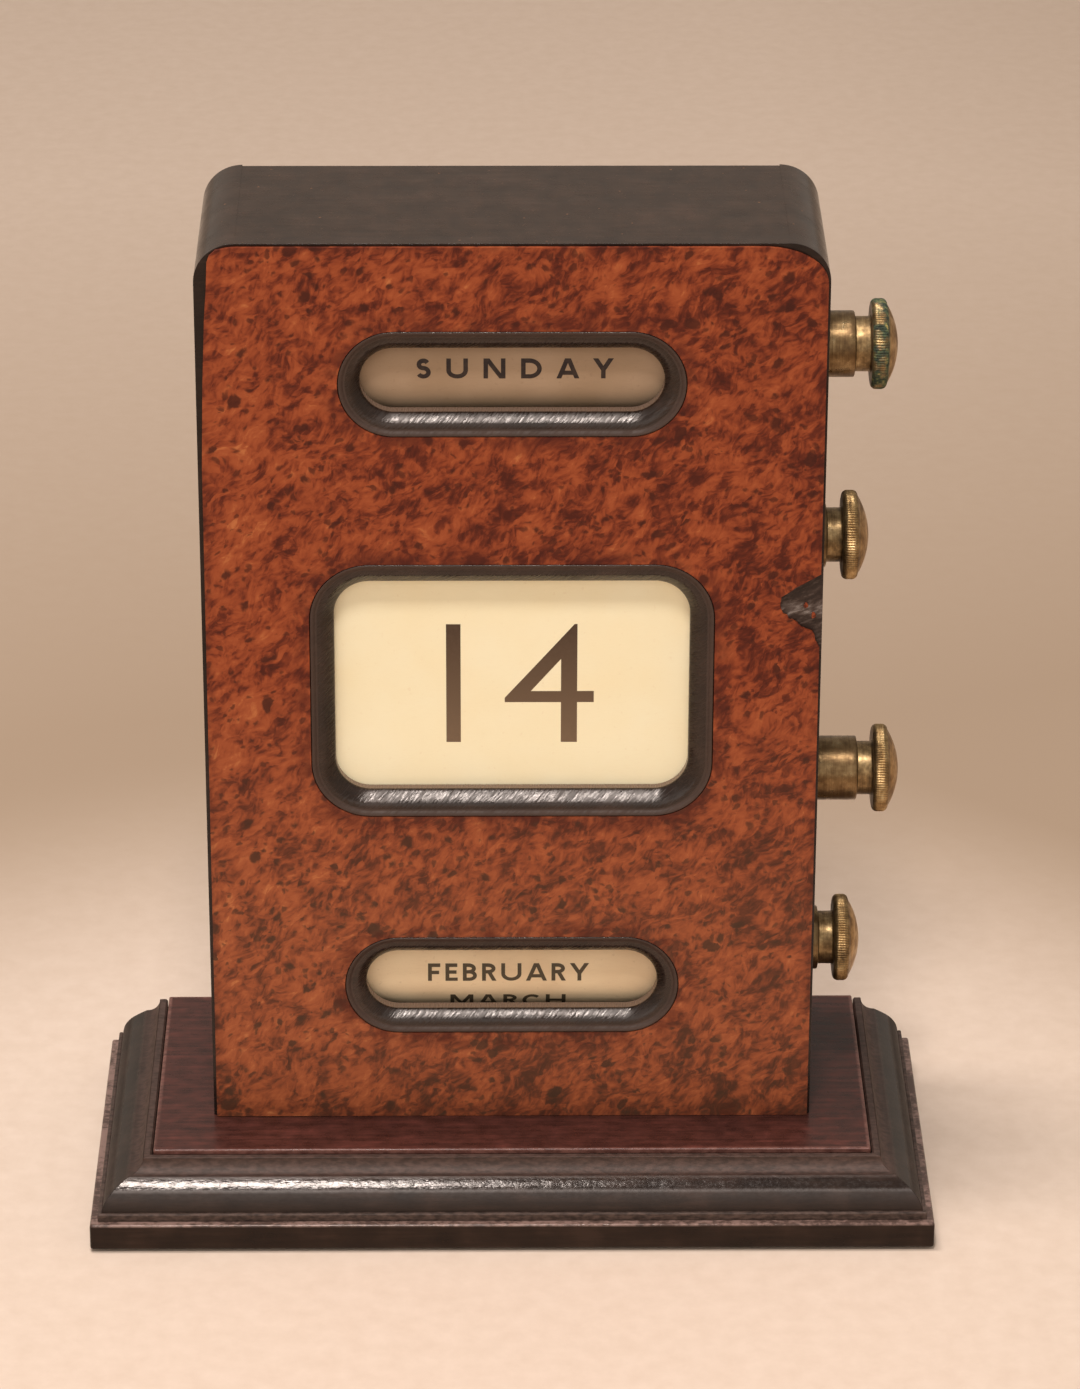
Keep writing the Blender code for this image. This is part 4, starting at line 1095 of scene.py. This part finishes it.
def letters(weight):
    """Plain wide capitals as strokes, one unit high: {letter: (width, strokes)}."""
    h = weight / 2

    def upright(x):
        return [(x, -0.1), (x, 1.1)]

    def level(y, start, end):
        return [(start, y), (end, y)]

    def bowl(low, high, right):
        middle = (low + high) / 2
        side = bow((right - 0.28, middle), 0.28, high - middle, 90, -90)
        return [(0, high), (right - 0.28, high), *side, (0, low)]

    waist = 0.53
    stem = upright(h)
    rounds = {
        "S": [
            *bow((0.35, (waist + 1 - h) / 2), 0.32 - h, (1 - h - waist) / 2, 26, 270),
            *bow((0.35, (waist + h) / 2), 0.35 - h, (waist - h) / 2, 90, -154)[1:],
        ],
        "C": bow((0.50, 0.5), 0.50 - h, 0.5 - h, 46, 314, 22),
        "G": bow((0.50, 0.5), 0.50 - h, 0.5 - h, 46, 330, 22),
        "O": bow((0.54, 0.5), 0.54 - h, 0.5 - h, 0, 360, 32),
        "U": [(h, 1.1), (h, 0.42), *bow((0.51, 0.42), 0.51 - h, 0.42 - h, 180, 360), (1.02 - h, 1.1)],
        "J": [(0.50 - h, 1.1), (0.50 - h, 0.30), *bow((0.22, 0.30), 0.28 - h, 0.30 - h, 0, -112)],
    }
    return {
        "A": (1.00, [[(0.03, -0.1), (0.50, 1.06), (0.97, -0.1)], level(0.29, 0.24, 0.76)]),
        "B": (0.71, [stem, bowl(waist, 1 - h, 0.66 - h), bowl(h, waist, 0.71 - h)]),
        "C": (0.93, [rounds["C"]]),
        "D": (0.98, [stem, [(0, 1 - h), *bow((0.40, 0.5), 0.58 - h, 0.5 - h, 90, -90, 20), (0, h)]]),
        "E": (0.62, [stem, level(1 - h, 0, 0.60), level(0.52, 0, 0.56), level(h, 0, 0.62)]),
        "F": (0.62, [stem, level(1 - h, 0, 0.62), level(0.50, 0, 0.56)]),
        "G": (1.00, [rounds["G"], [(0.94 - h, 0.10), (0.94 - h, 0.50)], level(0.46, 0.58, 0.94)]),
        "H": (1.00, [stem, upright(1.00 - h), level(0.52, 0, 1.00)]),
        "I": (weight, [stem]),
        "J": (0.50, [rounds["J"]]),
        "L": (0.56, [stem, level(h, 0, 0.56)]),
        "M": (1.16, [stem, upright(1.16 - h), [(h * 0.9, 1.06), (0.58, 0.18), (1.16 - h * 0.9, 1.06)]]),
        "N": (1.04, [stem, upright(1.04 - h), [(h, 1.06), (1.04 - h, -0.06)]]),
        "O": (1.08, [rounds["O"]]),
        "P": (0.68, [stem, bowl(0.46, 1 - h, 0.68 - h)]),
        "R": (0.71, [stem, bowl(waist, 1 - h, 0.68 - h), [(0.34, 0.56), (0.66, -0.08)]]),
        "S": (0.70, [rounds["S"]]),
        "T": (0.80, [[(0.40, -0.1), (0.40, 1 - h)], level(1 - h, 0, 0.80)]),
        "U": (1.02, [rounds["U"]]),
        "V": (0.98, [[(0.03, 1.1), (0.49, -0.06), (0.95, 1.1)]]),
        "W": (1.44, [[(0.04, 1.1), (0.40, -0.06), (0.72, 1.02), (1.04, -0.06), (1.40, 1.1)]]),
        "Y": (0.88, [[(0.02, 1.08), (0.44, 0.44), (0.86, 1.08)], [(0.44, 0.5), (0.44, -0.1)]]),
    }


def numerals():
    """Tall plain numerals, one unit high, as solid outlines."""
    bar = 0.111
    four = [
        [(0.0, 0.34), (0.12, 0.34), (0.432, 0.708), (0.556, 0.708), (0.556, 1.0), (0.535, 1.0), (0.0, 0.377)],
        [(0.432, 0.0), (0.556, 0.0), (0.556, 0.75), (0.432, 0.75)],
        [(0.0, 0.34), (0.684, 0.34), (0.684, 0.434), (0.06, 0.434)],
    ]
    five_flag = [(0.52, 1 - bar / 2), (0.14, 1 - bar / 2)]
    five_neck = [(0.10 + bar / 2, 1.0), (0.04 + bar / 2, 0.50)]
    five_bowl = bow((0.26, 0.325), 0.30 - bar / 2, 0.325 - bar / 2, 128, -140, 22)
    return {
        "1": (bar, [[(0.0, 0.0), (bar, 0.0), (bar, 1.0), (0.0, 1.0)]], []),
        "4": (0.684, four, []),
        "5": (0.56, [], [five_flag, five_neck, five_bowl]),
    }


def stroke_faces(points, weight):
    """Four-sided pieces that follow a stroke, meeting each other at half angles."""
    closed = math.dist(points[0], points[-1]) < 1e-6
    path = [Vector(point) for point in distinct(points, 1e-5)]
    count = len(path)
    sides = []
    for index, point in enumerate(path):
        before = path[index - 1] if index or closed else None
        after = path[(index + 1) % count] if index < count - 1 or closed else None
        coming = (point - before).normalized() if before is not None else None
        going = (after - point).normalized() if after is not None else None
        coming, going = coming or going, going or coming
        across = Vector((-coming.y - going.y, coming.x + going.x)).normalized()
        reach = weight / 2 / max(0.35, across.dot(Vector((-coming.y, coming.x))))
        sides.append((point + across * reach, point - across * reach))
    faces = []
    for index in range(count if closed else count - 1):
        after = (index + 1) % count
        faces.append([sides[index][0], sides[after][0], sides[after][1], sides[index][1]])
    return faces


def joined(faces):
    """One flat set of triangles that covers all the faces once."""
    verts, loops = [], []
    for face in faces:
        area = sum(a[0] * b[1] - b[0] * a[1] for a, b in zip(face, face[1:] + face[:1]))
        loops.append(list(range(len(verts), len(verts) + len(face))))
        verts += [Vector(point) for point in (face if area > 0 else reversed(face))]
    flat = delaunay_2d_cdt(verts, [], loops, 0, 1e-5, True)
    kept = [face for face, origin in zip(flat[2], flat[5]) if origin]
    return flat[0], kept


def glyph_mesh(bm, faces, scale, shift):
    """Adds one letter in its own plane, x across and y up."""
    verts, triangles = joined(faces)
    new = [bm.verts.new((v.x * scale + shift[0], v.y * scale + shift[1], 0.0)) for v in verts]
    for triangle in triangles:
        bm.faces.new([new[index] for index in triangle])


def clip(bm, low, high):
    for place, normal in ((low, -1), (high, 1)):
        cut = {"plane_co": (0, place, 0), "plane_no": (0, normal, 0), "clear_outer": True}
        bmesh.ops.bisect_plane(bm, geom=everything(bm), **cut)


def slice_across(bm, level, end, step):
    """Cuts a flat mesh into strips, so that it can bend."""
    while level < end:
        level += step
        bmesh.ops.bisect_plane(bm, geom=everything(bm), plane_co=(0, level, 0), plane_no=(0, 1, 0))


def drop_loose(bm):
    loose = [vert for vert in bm.verts if not vert.link_faces]
    bmesh.ops.delete(bm, geom=loose, context="VERTS")


def word_mesh(word, weight, height, middle, spacing):
    """A flat word, centred on (middle, 0)."""
    font = letters(weight)
    natural = sum(font[letter][0] for letter in word) * height
    gaps = len(word) - 1
    gap = min(spacing, (WIDEST_WORD - natural) / gaps)
    total = natural + gap * gaps
    bm = bmesh.new()
    at = middle - total / 2
    for letter in word:
        width, strokes = font[letter]
        faces = []
        for stroke in strokes:
            faces += stroke_faces(stroke, weight)
        glyph_mesh(bm, faces, height, (at, -height / 2))
        at += width * height + gap
    drop_loose(bm)
    clip(bm, -height / 2, height / 2)
    return bm


def add_names(axis_name, names, first_angle, weight, height, middle, spacing, material):
    """The names round a drum. The first one faces the front, and the next come up from below."""
    low, high = box_mm(f"{axis_name}_band")
    axis = (low + high) / 2
    whole = bmesh.new()
    for number, name in enumerate(names):
        bm = word_mesh(name, weight, height, middle, spacing)
        strip, ink_thickness = 0.36, 0.018
        slice_across(bm, -height / 2, height / 2 - 0.3, strip)
        push(bm, bm.faces[:], (0, 0, ink_thickness))
        turn = first_angle - number * 360 / len(names)
        for vert in bm.verts:
            angle = math.radians(turn) + vert.co.y / DRUM_RADIUS
            radius = DRUM_RADIUS + 0.002 + vert.co.z
            vert.co.yz = (axis.y - radius * math.cos(angle), axis.z + radius * math.sin(angle))
        mesh = mesh_of(bm, "scratch_word")
        whole.from_mesh(mesh)
        bpy.data.meshes.remove(mesh)
    make_piece(f"{axis_name}_names", whole, material, f"{axis_name}_drum", angle=30, even=False)


def add_band(node, material, body):
    """A paper band round its drum."""
    low, high = box_mm(node)
    middle = (low + high) / 2
    radius = (high.z - low.z) / 2
    steps = 144
    bm = bmesh.new()
    rings = []
    ends = [(low.x, 0.25), (low.x, 0.03), (low.x + 0.1, 0.0)]
    ends += [(high.x - 0.1, 0.0), (high.x, 0.03), (high.x, 0.25)]
    for along, inset in ends:
        ring = []
        for step in range(steps):
            angle = math.tau * step / steps
            reach = radius - inset
            place = (along, middle.y + reach * math.cos(angle), middle.z + reach * math.sin(angle))
            ring.append(bm.verts.new(place))
        rings.append(ring)
    bridge(bm, rings)
    make_piece(f"{node}_paper", bm, material, body, (node,), 35, even=False)


def waviness(x, z):
    """How far the strip of dates bends in and out."""
    return 0.03 * math.sin(0.14 * x + 0.11 * z) + 0.02 * math.sin(0.31 * z)


def around(layer):
    """The points along the border of a grid of rows."""
    right = [row[-1] for row in layer[:-1]]
    left = [row[0] for row in layer[:0:-1]]
    return layer[0][:-1] + right + layer[-1][:0:-1] + left


def add_scroll(material, ink):
    """The strip of dates: fourteen in the window and fifteen below it."""
    low, high = box_mm("date_scroll")
    bm = bmesh.new()
    columns, rows = 24, 40
    thickness = 0.12
    sides = []
    for set_back in (0.0, thickness):
        layer = []
        for row in range(rows + 1):
            line = []
            for column in range(columns + 1):
                x = low.x + (high.x - low.x) * column / columns
                z = low.z + (high.z - low.z) * row / rows
                line.append(bm.verts.new((x, low.y + 0.055 + waviness(x, z) + set_back, z)))
            layer.append(line)
        sides.append(layer)
    for layer in sides:
        for line, above in zip(layer[:-1], layer[1:]):
            for column in range(columns):
                bm.faces.new((line[column], line[column + 1], above[column + 1], above[column]))
    bridge(bm, [around(layer) for layer in sides], closed=False)
    make_piece("date_scroll_paper", bm, material, "date_scroll", ("date_scroll",), 35, even=False)
    shapes = numerals()
    height, weight, spacing = 21.2, 0.115, 7.17
    for text, foot in (("14", 81.5), ("15", 51.5)):
        bm = bmesh.new()
        at = -10.7
        for digit in text:
            width, outlines, strokes = shapes[digit]
            faces = [list(outline) for outline in outlines]
            for stroke in strokes:
                faces += stroke_faces(stroke, weight)
            glyph_mesh(bm, faces, height, (at, foot))
            at += width * height + spacing
        drop_loose(bm)
        slice_across(bm, foot, foot + height - 1, 1.0)
        push(bm, bm.faces[:], (0, 0, 0.02))
        for vert in bm.verts:
            x, z, proud = vert.co
            vert.co = (x, low.y + 0.053 + waviness(x, z) - proud, z)
        make_piece(f"date_{text}", bm, ink, "date_scroll", angle=30, even=False)


# Studio


def aim(thing, eye, target, roll=0.0):
    back = (Vector(eye) - Vector(target)).normalized()
    turn = back.to_track_quat("Z", "Y").to_matrix().to_4x4()
    thing.matrix_world = Matrix.Translation(eye) @ turn @ Matrix.Rotation(math.radians(roll), 4, "Z")


def add_lamp(name, eye, target, size, power, colour=WHITE):
    lamp = bpy.data.lights.new(name, "AREA")
    lamp.shape = "RECTANGLE"
    lamp.size, lamp.size_y = size
    lamp.energy = power
    lamp.color = colour
    thing = add_object(name, lamp)
    thing.visible_camera = False
    aim(thing, eye, target)


def add_floor():
    look = Look("floor")
    speckle = look.clouds((4, 4, 4), 4, 0.6)
    colour = look.mix(look.between(speckle, 0.3, 0.7), rgb(219, 195, 175), rgb(226, 203, 184))
    # Painted shade: the floor darkens away from the calendar, as a spotlight's fall-off, and towards the
    # right, away from the lamps on the left.
    away = look.vector("DISTANCE", look.place, (0.0, -50.0, 0.0), output=1)
    darker = look.between(away, 115, 218, smooth=True)
    darker = look.times(darker, look.between(away, 232, 537, 1.0, 0.32))
    painted_shade_right = look.between(look.parts(look.place, 0), 70, 190, 0.0, 0.20)
    colour = look.mix(look.plus(darker, painted_shade_right, clamp=True), colour, rgb(172, 147, 124))
    look.finish(colour, 0.8, specular=0.2)
    bm = bmesh.new()
    floor_reach = 4.0
    bmesh.ops.create_grid(bm, x_segments=8, y_segments=8, size=floor_reach)
    mesh = mesh_of(bm, "floor")
    mesh.materials.append(look.material)
    add_object("floor", mesh)


def add_sky():
    world = bpy.data.worlds.new("studio")
    bpy.context.scene.world = world
    world.use_nodes = True
    tree = world.node_tree
    background = tree.nodes["Background"]
    direction = tree.nodes.new("ShaderNodeTexCoord")
    height = tree.nodes.new("ShaderNodeSeparateXYZ")
    sky = tree.nodes.new("ShaderNodeValToRGB")
    tree.links.new(direction.outputs["Generated"], height.inputs[0])
    tree.links.new(height.outputs[2], sky.inputs[0])
    tree.links.new(sky.outputs[0], background.inputs["Color"])
    stops = ((0.35, (1.0, 0.87, 0.73, 1.0)), (0.85, (0.80, 0.78, 0.76, 1.0)))
    for element, (position, tone) in zip(sky.color_ramp.elements, stops):
        element.position = position
        element.color = tone
    background.inputs["Strength"].default_value = 0.46


def add_lamps():
    # Name, place, what it points at, size, watts and colour
    add_lamp("key", (-0.04, -0.48, 1.05), (0.0, 0.0, 0.09), (0.15, 0.15), 5.75, WARM_WHITE)
    add_lamp("overhead", (-0.20, 0.02, 1.25), (0.0, 0.0, 0.05), (0.09, 0.36), 7.0, WARM_WHITE)
    add_lamp("fill", (-0.5, -1.7, 0.7), (0.0, 0.0, 0.09), (2.6, 1.6), 10.0)


def add_camera():
    camera = bpy.data.cameras.new("camera")
    camera.lens = 144.05
    camera.sensor_width = 36.0
    camera.clip_start = 0.01
    camera.clip_end = 50.0
    view = add_object("camera", camera)
    eye, target, roll = (-0.0046, -0.8236, 0.4792), (0.00452, -0.0106, 0.09207), 0.17
    aim(view, eye, target, roll)
    bpy.context.scene.camera = view
    bpy.context.scene.view_settings.view_transform = "Standard"


# The calendar


def dress_inner_pieces(brass, stained):
    """The CAD's own solids that stay, each with its material."""
    wood = plain_wood_material()
    felt = felt_material()
    roll = paper_material("rolled_paper", rgb(240, 214, 170), rgb(226, 198, 152), rgb(190, 158, 116))
    finishes = {"inner_wood": wood, "felt": felt, "paper": roll, "brass": brass}
    for part in frame["record"]["subparts"]:
        node = frame["nodes"][part["node"]]
        finish = finishes.get(part["material_slot"])
        if part["node"] == "plinth_core_board":
            finish = stained
        if finish is not None:
            for slot in node.material_slots:
                slot.material = finish


def build():
    brass = brass_material("brass_tarnished")
    green_brass = brass_material("brass_verdigris", True)
    case = ebonised_material("ebonised_case", 0.32, strokes=(0, 20, 35), dust=True)
    dress_inner_pieces(brass, case)
    add_plinth()
    add_case_sides(case)
    add_case_top(case)
    add_front_board()
    add_veneer()
    add_bezels()
    add_back(case, brass)
    for name in KNOBS:
        add_knob(name, green_brass if name == "day_knob" else brass)
    day_paper = paper_material("day_paper", rgb(187, 157, 128), rgb(173, 143, 113), rgb(140, 110, 84))
    month_paper = paper_material("month_paper", rgb(243, 217, 178), rgb(232, 202, 163), rgb(192, 156, 117))
    date_paper = paper_material("date_paper", rgb(255, 242, 205), rgb(254, 238, 197), rgb(238, 213, 170))
    add_band("day_band", day_paper, "day_drum")
    add_band("month_band", month_paper, "month_drum")
    day_ink = ink_material("day_ink", 134, 159, rgb(52, 40, 36), rgb(50, 38, 34))
    month_ink = ink_material("month_ink", 26, 51, rgb(78, 68, 52), rgb(88, 76, 58))
    # The dates' ink is painted lighter towards the foot of the numerals: a painted sheen.
    date_ink = ink_material("date_ink", 82, 102, rgb(122, 98, 75), rgb(78, 58, 42))
    add_names("day", DAYS, 3.4, 0.215, 3.35, 0.35, 2.47, day_ink)
    add_names("month", MONTHS, 0.0, 0.195, 3.3, -0.62, 0.86, month_ink)
    add_scroll(date_paper, date_ink)
    add_floor()
    add_sky()
    add_lamps()
    add_camera()


build()
